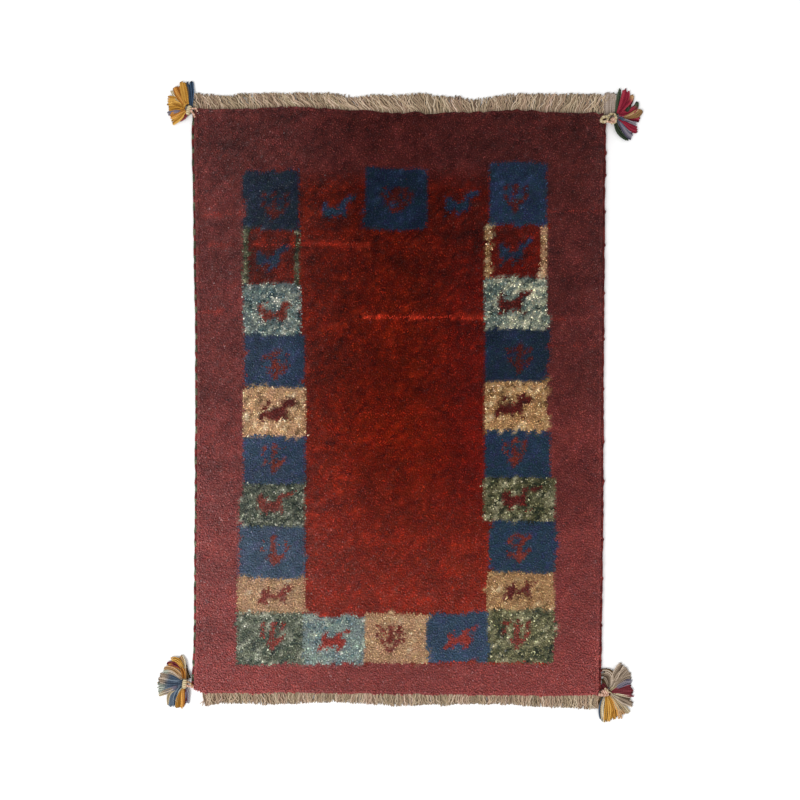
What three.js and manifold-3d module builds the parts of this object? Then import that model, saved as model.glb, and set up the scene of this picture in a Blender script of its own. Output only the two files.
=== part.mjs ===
// A hand-knotted gabbeh rug lying flat: a woven ground with a thick wool pile, a wrapped cord
// along each side, a warp fringe at each end and a yarn tassel at each corner.
// Units are millimetres. +Y points to the top fringe, +Z points up, and the rug lies on z = 0.

import * as THREE from 'three';
import Module from 'manifold-3d';

const wasm = await Module();
wasm.setup();

// Driving sizes

const GAP = 0.3; // clearance between neighbouring pieces
const PILE_HEIGHT = 12.4; // underside of the weave to the mean tips of the pile
const PILE_LUMP = 0.7; // how far the tips rise and sink over a hand's breadth
const PILE_ROLL = 6; // how far in from the edge the pile starts to roll over
const GROUND_HEIGHT = 5.5; // thickness of the weave under the pile
const CORD_DIAMETER = 5; // wrapped side cord
const STRIP_WIDTH = 3; // heading strip that holds a fringe
const STRIP_HEIGHT = 3.2;
const STRIP_CLEARANCE = 0.45; // from the pile, as both edges run straight between their steps
const FRINGE_STRANDS = 92; // on each end
const FRINGE_LENGTH = 22; // of the longer fringe, from the pile to its tips
const STRAND_WIDTH = 2.8; // a fringe strand at its root
const LOCK_WIDTH = 2.8; // a tassel lock, a little over its fullest
const STRAND_RISE = 0.85; // height of a strand as a share of its width
const STRAND_TAPER = 0.35; // share of a fringe strand's width lost by its tip
const STRAND_ROOT = 1.15; // how deep a fringe strand starts inside its strip
const HEAD_RADIUS = 6; // tassel head
const LOCK_START = 4; // from the head's middle to the root of a lock, hidden inside it

// Where the outer sides run, from the top end down: the weaver let the width wander
const SIDES = [
  { y: 434, left: -306.5, right: 305.5 },
  { y: 375, left: -307, right: 305.5 },
  { y: 300, left: -305.5, right: 304 },
  { y: 200, left: -304, right: 303.5 },
  { y: 100, left: -302, right: 303 },
  { y: 0, left: -302, right: 302 },
  { y: -120, left: -302.5, right: 302 },
  { y: -240, left: -303.5, right: 301 },
  { y: -330, left: -304, right: 299.5 },
  { y: -434, left: -307.5, right: 298 },
];

// Where the pile stops at the two ends, from left to right: the last rows are beaten unevenly
const ENDS = [
  { x: -307, top: 431, bottom: -424 },
  { x: -290, top: 433, bottom: -430.5 },
  { x: -147, top: 436, bottom: -430 },
  { x: 0, top: 427.5, bottom: -432 },
  { x: 60, top: 427, bottom: -433 },
  { x: 178, top: 431.5, bottom: -434 },
  { x: 290, top: 426, bottom: -434.5 },
  { x: 306, top: 425, bottom: -434 },
];

// Tips of the top fringe: how far up they reach, and their sideways lean for each mm of length
const TOP_TIPS = [
  { x: -288, tip: 459, lean: -0.2 },
  { x: -244, tip: 453, lean: -0.4 },
  { x: -200, tip: 457, lean: -0.3 },
  { x: -90, tip: 456, lean: -0.38 },
  { x: -60, tip: 450, lean: -0.45 },
  { x: -33, tip: 454.5, lean: -0.3 },
  { x: 45, tip: 455.5, lean: -0.14 },
  { x: 112, tip: 447, lean: -0.22 },
  { x: 178, tip: 457, lean: 0.09 },
  { x: 296, tip: 455, lean: 0.15 },
];

// Tips of the bottom fringe: shorter, and hanging almost straight
const BOTTOM_TIPS = [
  { x: -291, tip: -442, lean: -0.08 },
  { x: -200, tip: -447, lean: 0.08 },
  { x: -90, tip: -445, lean: -0.1 },
  { x: 20, tip: -449, lean: 0.08 },
  { x: 130, tip: -447, lean: -0.06 },
  { x: 220, tip: -451, lean: 0.06 },
  { x: 296, tip: -454, lean: -0.06 },
];

// The rings below the top of the pile: how far each stays inside the outline, and its height
const RIM_RINGS = [
  { inset: 2, height: PILE_HEIGHT - 2.4 },
  { inset: 0, height: GROUND_HEIGHT + 1.5 },
  { inset: 0.6, height: 0 },
];

// The wrapped side cords, which run a little less far than the pile at the corners
const CORDS = {
  left: { from: -423, to: 430 },
  right: { from: -433, to: 424 },
};

// The rings of a tassel's head, from the floor up
const HEAD_RINGS = [
  { radius: 5.2, height: 0 },
  { radius: HEAD_RADIUS, height: 2.4 },
  { radius: 5.4, height: 5.4 },
  { radius: 3, height: 7.6 },
];

// The corner tassels. Each row of locks is a bundle of like strands fanned between two angles,
// counted anticlockwise from +X, with its reach from the head and its sideways bend.
const TASSELS = [
  {
    name: 'top_left_tassel',
    side: 'left',
    y: 429,
    color: 0xb98f4e,
    locks: [
      { from: 79, to: 97, count: 3, reach: 44.5, bend: 1 },
      { from: 108, to: 128, count: 3, reach: 41, bend: 3 },
      { from: 139, to: 161, count: 3, reach: 34, bend: 3 },
      { from: 172, to: 184, count: 2, reach: 30, bend: 3 },
      { from: 196, to: 220, count: 3, reach: 27, bend: 4 },
    ],
  },
  {
    name: 'top_right_tassel',
    side: 'right',
    y: 419,
    color: 0x6d2a2f,
    locks: [
      { from: 80, to: 90, count: 2, reach: 42, bend: 2 },
      { from: 48, to: 68, count: 3, reach: 40, bend: 2 },
      { from: 8, to: 34, count: 4, reach: 45.5, bend: -2 },
      { from: -32, to: -6, count: 3, reach: 38, bend: -3 },
      { from: -58, to: -44, count: 2, reach: 36, bend: -3 },
    ],
  },
  {
    name: 'bottom_left_tassel',
    side: 'left',
    y: -416,
    color: 0x5b6f86,
    locks: [
      { from: 88, to: 100, count: 2, reach: 38, bend: 2 },
      { from: 112, to: 134, count: 3, reach: 38, bend: 4 },
      { from: 152, to: 184, count: 4, reach: 43.5, bend: 2 },
      { from: 200, to: 226, count: 3, reach: 36, bend: 3 },
      { from: 240, to: 262, count: 3, reach: 40, bend: 2 },
    ],
  },
  {
    name: 'bottom_right_tassel',
    side: 'right',
    y: -430,
    color: 0x8d7f68,
    locks: [
      { from: 80, to: 92, count: 2, reach: 33, bend: 5 },
      { from: 46, to: 66, count: 3, reach: 46, bend: 3 },
      { from: -4, to: 28, count: 4, reach: 43, bend: -2 },
      { from: -48, to: -22, count: 3, reach: 40, bend: -3 },
      { from: -92, to: -64, count: 4, reach: 45, bend: -2 },
    ],
  },
];

const BODY_COLUMNS = 20; // grid across the pile
const BODY_ROWS = 28; // grid along the pile
const CORD_STEPS = 28;
const CORD_SIDES = 8;
const STRIP_STEPS = 20;
const STRAND_STEPS = 3;
const LOCK_STEPS = 4;
const HEAD_SIDES = 10;
const UNDERSIDE_HUB = new THREE.Vector3(11, -23, 0); // where the underside's triangles meet

// Smooth value of one column of a table at a place along it
function valueAt(table, axis, column, place) {
  const rising = table[0][axis] < table[table.length - 1][axis];
  const rows = rising ? table : [...table].reverse();
  const last = rows.length - 1;
  let upper = 1;
  while (upper < last && rows[upper][axis] < place) upper += 1;
  const start = rows[upper - 1];
  const end = rows[upper];
  const share = THREE.MathUtils.smoothstep(place, start[axis], end[axis]);
  return THREE.MathUtils.lerp(start[column], end[column], share);
}

const sideEdge = (side, y) => valueAt(SIDES, 'y', side, y);
const pileEnd = (end, x) => valueAt(ENDS, 'x', end, x);

// A point of the body's outline or of its inside: u runs across from the left, v up from the bottom
function bodyPlan(u, v, inset) {
  const roughY = THREE.MathUtils.lerp(pileEnd('bottom', 0), pileEnd('top', 0), v);
  const sideInset = CORD_DIAMETER + GAP + inset;
  const left = sideEdge('left', roughY) + sideInset;
  const right = sideEdge('right', roughY) - sideInset;
  const x = THREE.MathUtils.lerp(left, right, u);
  const y = THREE.MathUtils.lerp(pileEnd('bottom', x) + inset, pileEnd('top', x) - inset, v);
  return new THREE.Vector2(x, y);
}

// The soft unevenness of the pile's tips
function pileTop({ x, y }) {
  const broad = Math.sin(x / 71 + 0.6) * Math.cos(y / 93 - 0.4);
  const narrow = Math.sin((x + y) / 47 + 1.3) * Math.cos((x - y) / 59);
  return PILE_HEIGHT + PILE_LUMP * (0.6 * broad + 0.4 * narrow);
}

// Geometry from shared vertices and triangles, with its faces pointing out
function closedGeometry(vertices, triangles) {
  let volume = 0;
  for (const [a, b, c] of triangles) {
    volume += vertices[a].dot(new THREE.Vector3().crossVectors(vertices[b], vertices[c]));
  }
  const outward = volume > 0 ? triangles : triangles.map(([a, b, c]) => [a, c, b]);
  const geometry = new THREE.BufferGeometry().setFromPoints(vertices);
  geometry.setIndex(outward.flat());
  return geometry;
}

// Triangles between two rings of as many vertices
function band(upper, lower) {
  return upper.flatMap((vertex, i) => {
    const next = (i + 1) % upper.length;
    return [
      [vertex, lower[i], lower[next]],
      [vertex, lower[next], upper[next]],
    ];
  });
}

// A closed solid through a row of convex rings
function loft(rings) {
  const size = rings[0].length;
  const ringIndex = rings.map((ring, r) => ring.map((_, i) => r * size + i));
  const triangles = ringIndex.slice(1).flatMap((lower, r) => band(ringIndex[r], lower));
  const [first, last] = [ringIndex[0], ringIndex[rings.length - 1]];
  for (let i = 1; i < size - 1; i += 1) {
    triangles.push([first[0], first[i], first[i + 1]]);
    triangles.push([last[0], last[i + 1], last[i]]);
  }
  return closedGeometry(rings.flat(), triangles);
}

// Several closed solids joined into one
function join(geometries) {
  const solids = geometries.map((geometry) => {
    const mesh = new wasm.Mesh({
      numProp: 3,
      vertProperties: new Float32Array(geometry.getAttribute('position').array),
      triVerts: new Uint32Array(geometry.getIndex().array),
    });
    return new wasm.Manifold(mesh);
  });
  const joined = solids.reduce((whole, solid) => whole.add(solid)).getMesh();
  const geometry = new THREE.BufferGeometry();
  geometry.setAttribute('position', new THREE.BufferAttribute(joined.vertProperties, 3));
  geometry.setIndex(new THREE.BufferAttribute(joined.triVerts, 1));
  return geometry;
}

// The pile's grid cells around its border, anticlockwise from the bottom left
function borderCells() {
  const cells = [];
  for (let column = 0; column < BODY_COLUMNS; column += 1) cells.push([column, 0]);
  for (let row = 0; row < BODY_ROWS; row += 1) cells.push([BODY_COLUMNS, row]);
  for (let column = BODY_COLUMNS; column > 0; column -= 1) cells.push([column, BODY_ROWS]);
  for (let row = BODY_ROWS; row > 0; row -= 1) cells.push([0, row]);
  return cells;
}

// The knotted body: a lumpy top, sides that roll over, and a flat underside
function knottedBody() {
  const vertices = [];
  const triangles = [];
  const addVertex = (column, row, inset, height) => {
    const plan = bodyPlan(column / BODY_COLUMNS, row / BODY_ROWS, inset);
    vertices.push(new THREE.Vector3(plan.x, plan.y, height ?? pileTop(plan)));
    return vertices.length - 1;
  };
  const gridIndex = (column, row) => row * (BODY_COLUMNS + 1) + column;
  for (let row = 0; row <= BODY_ROWS; row += 1) {
    for (let column = 0; column <= BODY_COLUMNS; column += 1) {
      addVertex(column, row, PILE_ROLL);
    }
  }
  for (let row = 0; row < BODY_ROWS; row += 1) {
    for (let column = 0; column < BODY_COLUMNS; column += 1) {
      const near = gridIndex(column, row);
      const far = gridIndex(column + 1, row + 1);
      triangles.push([near, gridIndex(column + 1, row), far]);
      triangles.push([near, far, gridIndex(column, row + 1)]);
    }
  }
  const border = borderCells();
  let ring = border.map(([column, row]) => gridIndex(column, row));
  for (const { inset, height } of RIM_RINGS) {
    const lower = border.map(([column, row]) => addVertex(column, row, inset, height));
    triangles.push(...band(ring, lower));
    ring = lower;
  }
  vertices.push(UNDERSIDE_HUB);
  const hub = vertices.length - 1;
  ring.forEach((vertex, i) => triangles.push([hub, ring[(i + 1) % ring.length], vertex]));
  return closedGeometry(vertices, triangles);
}

// A wrapped cord along one side, lying on the floor on one flat of its octagon
function sideCord(side) {
  const { from, to } = CORDS[side];
  const radius = CORD_DIAMETER / 2;
  const middleHeight = radius * Math.cos(Math.PI / CORD_SIDES);
  const inward = side === 'left' ? 1 : -1;
  const rings = [];
  for (let step = 0; step <= CORD_STEPS; step += 1) {
    const y = THREE.MathUtils.lerp(from, to, step / CORD_STEPS);
    const middleX = sideEdge(side, y) + inward * radius;
    const ring = [];
    for (let i = 0; i < CORD_SIDES; i += 1) {
      const angle = ((i + 0.5) / CORD_SIDES) * 2 * Math.PI;
      const x = middleX + radius * Math.cos(angle);
      ring.push(new THREE.Vector3(x, y, middleHeight + radius * Math.sin(angle)));
    }
    rings.push(ring);
  }
  return loft(rings);
}

// A three-sided strand lying flat. It leaves its root at an angle and curves away to the left by
// curve times the square of the distance.
function strand({ start, angle, reach, curve, steps, widthAt }) {
  const along = new THREE.Vector2(Math.cos(angle), Math.sin(angle));
  const across = new THREE.Vector2(-along.y, along.x);
  const rings = [];
  for (let step = 0; step <= steps; step += 1) {
    const share = step / steps;
    const distance = reach * share;
    const middle = start.clone().addScaledVector(along, distance);
    middle.addScaledVector(across, curve * distance * distance);
    const heading = along.clone().addScaledVector(across, 2 * curve * distance);
    const normal = new THREE.Vector2(-heading.y, heading.x).normalize();
    const width = widthAt(share);
    const left = middle.clone().addScaledVector(normal, width / 2);
    const right = middle.clone().addScaledVector(normal, -width / 2);
    rings.push([
      new THREE.Vector3(left.x, left.y, 0),
      new THREE.Vector3(right.x, right.y, 0),
      new THREE.Vector3(middle.x, middle.y, STRAND_RISE * width),
    ]);
  }
  return loft(rings);
}

// A fringe: a narrow strip along one end of the pile, and the strands that leave it
function fringe(end, tips) {
  const outward = end === 'top' ? 1 : -1;
  const firstX = tips[0].x;
  const lastX = tips[tips.length - 1].x;
  const stripEdge = (x) => pileEnd(end, x) + outward * STRIP_CLEARANCE;
  const rings = [];
  for (let step = 0; step <= STRIP_STEPS; step += 1) {
    const x = THREE.MathUtils.lerp(firstX, lastX, step / STRIP_STEPS);
    const inner = stripEdge(x);
    const outer = inner + outward * STRIP_WIDTH;
    rings.push([
      new THREE.Vector3(x, inner, 0),
      new THREE.Vector3(x, outer, 0),
      new THREE.Vector3(x, outer, STRIP_HEIGHT),
      new THREE.Vector3(x, inner, STRIP_HEIGHT),
    ]);
  }
  const pieces = [loft(rings)];
  const spacing = (lastX - firstX) / FRINGE_STRANDS;
  for (let i = 0; i < FRINGE_STRANDS; i += 1) {
    const x = firstX + spacing * (i + 0.5);
    const start = new THREE.Vector2(x, stripEdge(x) + outward * STRAND_ROOT);
    const uneven = 1.6 * Math.sin(i * 2.4) + 0.9 * Math.sin(i * 5.1 + 1);
    const tip = valueAt(tips, 'x', 'tip', x) + uneven;
    const lean = valueAt(tips, 'x', 'lean', x) + 0.03 * Math.sin(i * 1.7);
    pieces.push(
      strand({
        start,
        angle: Math.atan2(outward, lean * 0.4),
        reach: Math.abs(tip - start.y),
        curve: (-outward * lean * 0.6) / FRINGE_LENGTH,
        steps: STRAND_STEPS,
        widthAt: (share) => STRAND_WIDTH * (1 - STRAND_TAPER * share),
      }),
    );
  }
  return join(pieces);
}

// A tassel: a wrapped head against the rug's corner, and yarn locks fanned out on the floor
function tassel({ side, y, locks }) {
  const outward = side === 'left' ? -1 : 1;
  const head = new THREE.Vector2(sideEdge(side, y) + outward * (GAP + HEAD_RADIUS), y);
  const rings = HEAD_RINGS.map(({ radius, height }) => {
    const ring = [];
    for (let i = 0; i < HEAD_SIDES; i += 1) {
      const angle = (i / HEAD_SIDES) * 2 * Math.PI;
      const x = head.x + radius * Math.cos(angle);
      ring.push(new THREE.Vector3(x, head.y + radius * Math.sin(angle), height));
    }
    return ring;
  });
  const pieces = [loft(rings)];
  for (const { from, to, count, reach, bend } of locks) {
    for (let i = 0; i < count; i += 1) {
      const angle = THREE.MathUtils.degToRad(THREE.MathUtils.lerp(from, to, i / (count - 1)));
      const toRoot = new THREE.Vector2(Math.cos(angle), Math.sin(angle));
      const start = head.clone().addScaledVector(toRoot, LOCK_START);
      pieces.push(
        strand({
          start,
          angle,
          reach: (reach - LOCK_START) * (1 - 0.1 * Math.abs(Math.sin(i * 2.1))),
          curve: bend / (reach * reach),
          steps: LOCK_STEPS,
          widthAt: (share) => LOCK_WIDTH * (0.4 + 1.9 * share - 1.85 * share * share),
        }),
      );
    }
  }
  return join(pieces);
}

// One named piece of the rug
function piece(name, geometry, color) {
  const material = new THREE.MeshStandardMaterial({ color, roughness: 0.95, metalness: 0 });
  const mesh = new THREE.Mesh(geometry, material);
  mesh.name = name;
  return mesh;
}

const rug = new THREE.Group();
rug.add(
  piece('knotted_body', knottedBody(), 0x6b1a1c),
  piece('left_side_cord', sideCord('left'), 0x6f4a3d),
  piece('right_side_cord', sideCord('right'), 0x4a1a20),
  piece('top_fringe', fringe('top', TOP_TIPS), 0xa8947a),
  piece('bottom_fringe', fringe('bottom', BOTTOM_TIPS), 0xa8947a),
);
for (const corner of TASSELS) {
  rug.add(piece(corner.name, tassel(corner), corner.color));
}

// The origin is the middle of the whole outline, on the floor
const middle = new THREE.Box3().setFromObject(rug).getCenter(new THREE.Vector3());
rug.position.set(-middle.x, -middle.y, 0);

export default rug;
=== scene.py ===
"""Dresses a hand-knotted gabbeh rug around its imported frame.

The rug lies flat: a woven ground with a thick wool pile, a wrapped cord along each side, a warp
fringe at each end and a yarn tassel at each corner. Lengths are millimetres in the rug's own
plan, +X to its right side, +Y to its longer fringe, and they turn to metres in build_piece.
"""

import logging
import math
from dataclasses import dataclass, field
from enum import Enum

import bpy
import numpy as np
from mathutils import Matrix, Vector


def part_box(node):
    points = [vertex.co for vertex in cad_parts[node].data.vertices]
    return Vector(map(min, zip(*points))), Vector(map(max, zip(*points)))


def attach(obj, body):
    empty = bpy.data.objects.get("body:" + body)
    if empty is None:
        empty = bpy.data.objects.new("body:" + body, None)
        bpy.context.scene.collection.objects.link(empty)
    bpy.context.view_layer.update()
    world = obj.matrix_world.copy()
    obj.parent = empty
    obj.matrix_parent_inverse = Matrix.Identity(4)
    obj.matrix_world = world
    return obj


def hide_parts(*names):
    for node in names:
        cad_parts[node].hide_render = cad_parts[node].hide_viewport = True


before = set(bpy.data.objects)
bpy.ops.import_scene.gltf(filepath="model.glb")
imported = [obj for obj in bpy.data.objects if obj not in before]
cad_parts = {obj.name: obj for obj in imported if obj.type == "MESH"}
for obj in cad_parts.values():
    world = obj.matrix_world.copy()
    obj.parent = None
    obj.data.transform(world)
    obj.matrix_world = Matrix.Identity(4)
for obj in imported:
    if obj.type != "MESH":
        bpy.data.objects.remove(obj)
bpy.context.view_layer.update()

LOG = logging.getLogger("gabbeh")
MM = 0.001
WOOL_LAYER = "wool"
YARN_LAYER = "yarn"
BAKE_LAYER = "OFBake"
# One knot across, and one row of knots along
KNOT = 3.55
# Half the pile's width and length, by which the slow changes in tone are placed
HALF_WIDTH = 302.0
HALF_LENGTH = 434.0
# Each cut yarn end is a spindle of this many points and triangles
TUFT_POINTS = 5
TUFT_FACES = 6
# Wool of the paler stripes on the left side cord
GREY_GREEN = ("#33362a", "#565844", "#77785f")

Array = np.ndarray


@dataclass(frozen=True)
class Dye:
    """How one lot of wool is coloured, and how unevenly it took the dye."""

    shades: tuple[str, ...]  # hex colours of its staples, about from dark to light
    mottled: float  # how far single knots differ
    streaked: float  # how far runs along a row differ
    tone_power: float = 1.0  # how much of the rug's slow changes in tone, painted light among them, shows in it
    fibrous: float = 0.17  # how far single cut ends differ in tone


class Wool(Enum):
    """The wools that the rug is knotted in."""

    MADDER = Dye(("#470903", "#691003", "#671903", "#7f1905", "#92260b"), 0.33, 0.2, fibrous=0.27)
    MAROON = Dye(("#4a1a1b", "#662929", "#73302b", "#823938"), 0.2, 0.18, fibrous=0.14)
    NIGHT = Dye(("#172139", "#233251", "#1d3743", "#2b3055", "#354b6a"), 0.22, 0.16, 0.6)
    INDIGO = Dye(("#1f2942", "#2b3854", "#263e4f", "#373d64", "#445873"), 0.2, 0.16, 0.8)
    AZURE = Dye(("#263047", "#333f57", "#2e4555", "#424564", "#526379"), 0.2, 0.18, 0.8)
    SKY = Dye(("#2c4246", "#567479", "#7b8384", "#8a9d94", "#b4bbac", "#e6e6d6"), 0.4, 0.3, 0.2, 0.6)
    MIST = Dye(("#2b3534", "#566762", "#7c8379", "#999b85", "#cdc8ae"), 0.4, 0.3, 0.2, 0.6)
    CREAM = Dye(("#6f5439", "#b58f64", "#cc9f7c", "#d8b485", "#f6e2c0"), 0.34, 0.18, 0.2, 0.4)
    CAMEL = Dye(("#543a22", "#a27a4c", "#bf9265", "#d2ae7a", "#f4dab0"), 0.38, 0.2, 0.2, 0.4)
    GREEN = Dye(("#1c2a25", "#415144", "#686d58", "#878b77", "#c4c6b0"), 0.56, 0.34, 0.2, 0.7)
    MOSS = Dye(("#182216", "#424830", "#676342", "#8b8662", "#c8c29e"), 0.56, 0.34, 0.2, 0.7)
    PINE = Dye(("#1a2718", "#303c28", "#565a3c", "#86866a", "#b8b494"), 0.34, 0.34, 0.2, 0.48)
    SCARLET = Dye(("#a32616", "#c5341d", "#d94a2c"), 0.2, 0.2)
    WINE = Dye(("#3f100d", "#581812", "#6b251d"), 0.25, 0.1, 0.7)
    RUST = Dye(("#561a12", "#72281d", "#873a2c"), 0.25, 0.1, 0.5)
    BRICK = Dye(("#6b1c14", "#8c2a1f", "#a03c2c"), 0.25, 0.1, 0.5)


class Figure(Enum):
    """A small figure, charted by knots: # for its own wool, o where the two wools mingle."""

    NONE = ()
    GOAT = (
        "...........#..",
        "...#......###.",
        "##........####",
        "##.......####.",
        "###......###..",
        "####oooo####..",
        "############..",
        ".###########..",
        "..###...###...",
        ".........#....",
    )
    BUCK = (
        "............####",
        ".#.......#####..",
        "##.#....o##.....",
        "###....o##......",
        "###o######......",
        "##########......",
        "##########......",
        ".#########......",
        "o..o..o..oo.....",
        "oo.oo.oo.ooo....",
    )
    KID = (
        "............##.",
        "....#...o#####.",
        "..##....###....",
        "..##...###.....",
        "..##########...",
        "..##########...",
        "..##########...",
        ".###.oo..##....",
        "##..#.o.##.....",
    )
    RAM = (
        "...........##...",
        "...##....##.###.",
        "...##....#######",
        ".#........#####.",
        ".###o#######....",
        "..##########....",
        ".###########....",
        "############....",
        "##o###o##.##....",
        "##.....#...##...",
    )
    LAMB = (
        "...........##..",
        "....#....o#o.##",
        ".##.#....#####.",
        ".####...###....",
        "..##########...",
        ".####.######...",
        "#.##.....###...",
        "#.##......##...",
    )
    HIND = (
        "...........###.",
        ".........#####.",
        "##......####...",
        "###.....##.....",
        "####...###.....",
        "##########.....",
        "##########.....",
        "####o#####.....",
        "o.oo..oo.o.....",
        "..o..o..o......",
        "o....o...o.....",
    )
    FLOWER = (
        "....o##....",
        "#o..##o..o#",
        ".#.o#o.o.#.",
        ".o..o#o..o.",
        "o...##...o.",
        "#o..#o..oo#",
        ".#o.##o.o#.",
        ".oo.o#.o#o.",
        "..o#o##o#..",
        "...o###o...",
        "....##o....",
        "....##.....",
    )
    BLOSSOM = (
        "...###...#",
        "..#...#.##",
        ".#....###.",
        ".##..##o..",
        "..#####...",
        "....##...#",
        "#...##..##",
        "##..##.##.",
        ".##.####..",
        "..#####...",
        "...####...",
        "....##....",
    )
    POSY = (
        "##..o###.##..",
        ".#o.###o.#.o.",
        "..##.##.###..",
        "#..####.##.##",
        "##.#.###.#o..",
        ".##.####..##.",
        ".o#.##o.##.#.",
        "..##.#.#.##..",
        "...#o..##....",
        "...o####.....",
        "....###......",
    )


class Side(Enum):
    """A long side of the rug; its value is the direction outward along X."""

    LEFT = -1
    RIGHT = 1


class End(Enum):
    """A short end of the rug; its value is the direction outward along Y."""

    TOP = 1
    BOTTOM = -1


def linear_colour(hex_colour: str) -> Array:
    """Turns an sRGB hex colour to linear light.

    Args:
        hex_colour: Six hex digits after a hash.

    Returns:
        Red, green and blue from 0 to 1.
    """
    channels = np.array([int(hex_colour[i : i + 2], 16) for i in (1, 3, 5)]) / 255
    low = channels / 12.92
    high = ((channels + 0.055) / 1.055) ** 2.4
    return np.where(channels <= 0.04045, low, high)


def wool_colour(shades: tuple[str, ...], shade: Array) -> Array:
    """Reads a wool's colour off its ramp of shades.

    Args:
        shades: Hex colours from dark to light.
        shade: Places on the ramp, from 0 for the first to 1 for the last.

    Returns:
        Linear colours, one more axis than shade.
    """
    ramp = np.array([linear_colour(colour) for colour in shades])
    places = np.linspace(0, 1, len(ramp))
    return np.stack([np.interp(shade, places, ramp[:, c]) for c in range(3)], axis=-1)


def ease(share: Array) -> Array:
    """Eases a share from 0 to 1 by 3t² - 2t³, flat past both ends."""
    t = np.clip(share, 0, 1)
    return t * t * (3 - 2 * t)


def rise(at: Array, start: float, reach: float) -> Array:
    """Eases from 0 at the start to 1 a reach further."""
    return ease((at - start) / reach)


def share_across(x: Array) -> Array:
    """Share of the way from the rug's left side to its right."""
    return (x + HALF_WIDTH) / (2 * HALF_WIDTH)


def share_down(y: Array) -> Array:
    """Share of the way from the rug's head to its foot."""
    return (HALF_LENGTH - y) / (2 * HALF_LENGTH)


def eased_between(places: Array, values: Array, at: Array) -> Array:
    """Eases from each row's value to the next, and stays level past the first and last.

    Args:
        places: Where the rows lie, rising.
        values: The value of each row.
        at: Where the value is wanted.

    Returns:
        The values there.
    """
    index = np.clip(np.searchsorted(places, at) - 1, 0, len(places) - 2)
    share = (at - places[index]) / (places[index + 1] - places[index])
    return values[index] + (values[index + 1] - values[index]) * ease(share)


def cloud(x: Array, y: Array, across: float, along: float, seed: int) -> Array:
    """Smooth random unevenness: random values on a lattice, eased between both ways.

    Args:
        x: Places across the rug.
        y: Places along the rug.
        across: Lattice spacing across.
        along: Lattice spacing along.
        seed: Seed of the lattice.

    Returns:
        Values from -1 to 1.
    """
    size = 256
    lattice = np.random.default_rng(seed).uniform(-1, 1, (size, size))
    column, row = x / across + size / 2, y / along + size / 2
    i, j = np.floor(column).astype(int), np.floor(row).astype(int)
    s, t = ease(column - i), ease(row - j)
    i0, i1, j0, j1 = i % size, (i + 1) % size, j % size, (j + 1) % size
    near = lattice[i0, j0] * (1 - s) + lattice[i1, j0] * s
    far = lattice[i0, j1] * (1 - s) + lattice[i1, j1] * s
    return near * (1 - t) + far * t


@dataclass(frozen=True)
class Unevenness:
    """One random unevenness of the rug: its lattice, how strong it is, and its seed."""

    across: float
    along: float
    strength: float
    seed: int

    def at(self, x: Array, y: Array, lot: int = 0) -> Array:
        """Its value at places in the plan; another lot gives another pattern."""
        return self.strength * cloud(x, y, self.across, self.along, self.seed + lot)

    def on_line(self, x: Array, lot: int = 0) -> Array:
        """Its value at places along one line."""
        return self.at(x, x * 0, lot)


@dataclass
class Surface:
    """Vertices in millimetres with their faces, colours and coordinates along the yarn."""

    vertices: Array
    faces: list[Array]
    colours: Array
    yarn: Array | None = None

    @staticmethod
    def joined(parts: list["Surface"]) -> "Surface":
        """Joins several surfaces into one, each keeping its own vertices.

        Args:
            parts: The surfaces.

        Returns:
            All of them as one.
        """
        starts = np.cumsum([0] + [len(part.vertices) for part in parts])
        faces = [f + start for part, start in zip(parts, starts) for f in part.faces]
        yarn = None
        if all(part.yarn is not None for part in parts):
            yarn = np.concatenate([part.yarn for part in parts])
        return Surface(
            np.concatenate([part.vertices for part in parts]),
            faces,
            np.concatenate([part.colours for part in parts]),
            yarn,
        )

    def bake_map(self) -> Array:
        """Scales the plan to a unit square, so that what shows from above fills the map.

        Returns:
            Two coordinates for each vertex.
        """
        low = self.vertices[:, :2].min(axis=0)
        high = self.vertices[:, :2].max(axis=0)
        return (self.vertices[:, :2] - low) / (high - low)


def build_piece(name: str, surface: Surface, bake_map: Array | None = None) -> bpy.types.Object:
    """Puts a surface into a mesh object that sits at the origin.

    Args:
        name: The piece's name.
        surface: What it is made of, in millimetres.
        bake_map: Coordinates of each vertex in the export's map; the plan if left out.

    Returns:
        The new object, riding on the frame.
    """
    loops = np.concatenate([part.ravel() for part in surface.faces])
    totals = np.concatenate([np.full(len(part), part.shape[1]) for part in surface.faces])
    starts = np.cumsum(totals) - totals
    mesh = bpy.data.meshes.new(name)
    mesh.vertices.add(len(surface.vertices))
    mesh.vertices.foreach_set("co", (surface.vertices * MM).astype(np.float32).ravel())
    mesh.loops.add(len(loops))
    mesh.loops.foreach_set("vertex_index", loops.astype(np.int32))
    mesh.polygons.add(len(totals))
    mesh.polygons.foreach_set("loop_start", starts.astype(np.int32))
    mesh.polygons.foreach_set("use_smooth", np.ones(len(totals), bool))
    mesh.update(calc_edges=True)
    layers = {BAKE_LAYER: surface.bake_map() if bake_map is None else bake_map}
    if surface.yarn is not None:
        layers[YARN_LAYER] = surface.yarn
    for layer, places in layers.items():
        mesh.uv_layers.new(name=layer)
        flat = places[loops].astype(np.float32).ravel()
        mesh.uv_layers[layer].data.foreach_set("uv", flat)
    colours = np.ones((len(surface.vertices), 4), np.float32)
    colours[:, :3] = surface.colours
    attribute = mesh.color_attributes.new(WOOL_LAYER, "FLOAT_COLOR", "POINT")
    attribute.data.foreach_set("color", colours.ravel())
    mesh.validate()
    piece = bpy.data.objects.new(name, mesh)
    bpy.context.scene.collection.objects.link(piece)
    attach(piece, "root")
    LOG.info("%s: %d vertices, %d faces", name, len(mesh.vertices), len(mesh.polygons))
    return piece


def unit(vectors: Array) -> Array:
    """Vectors of length one along the last axis."""
    return vectors / np.linalg.norm(vectors, axis=-1, keepdims=True)


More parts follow.
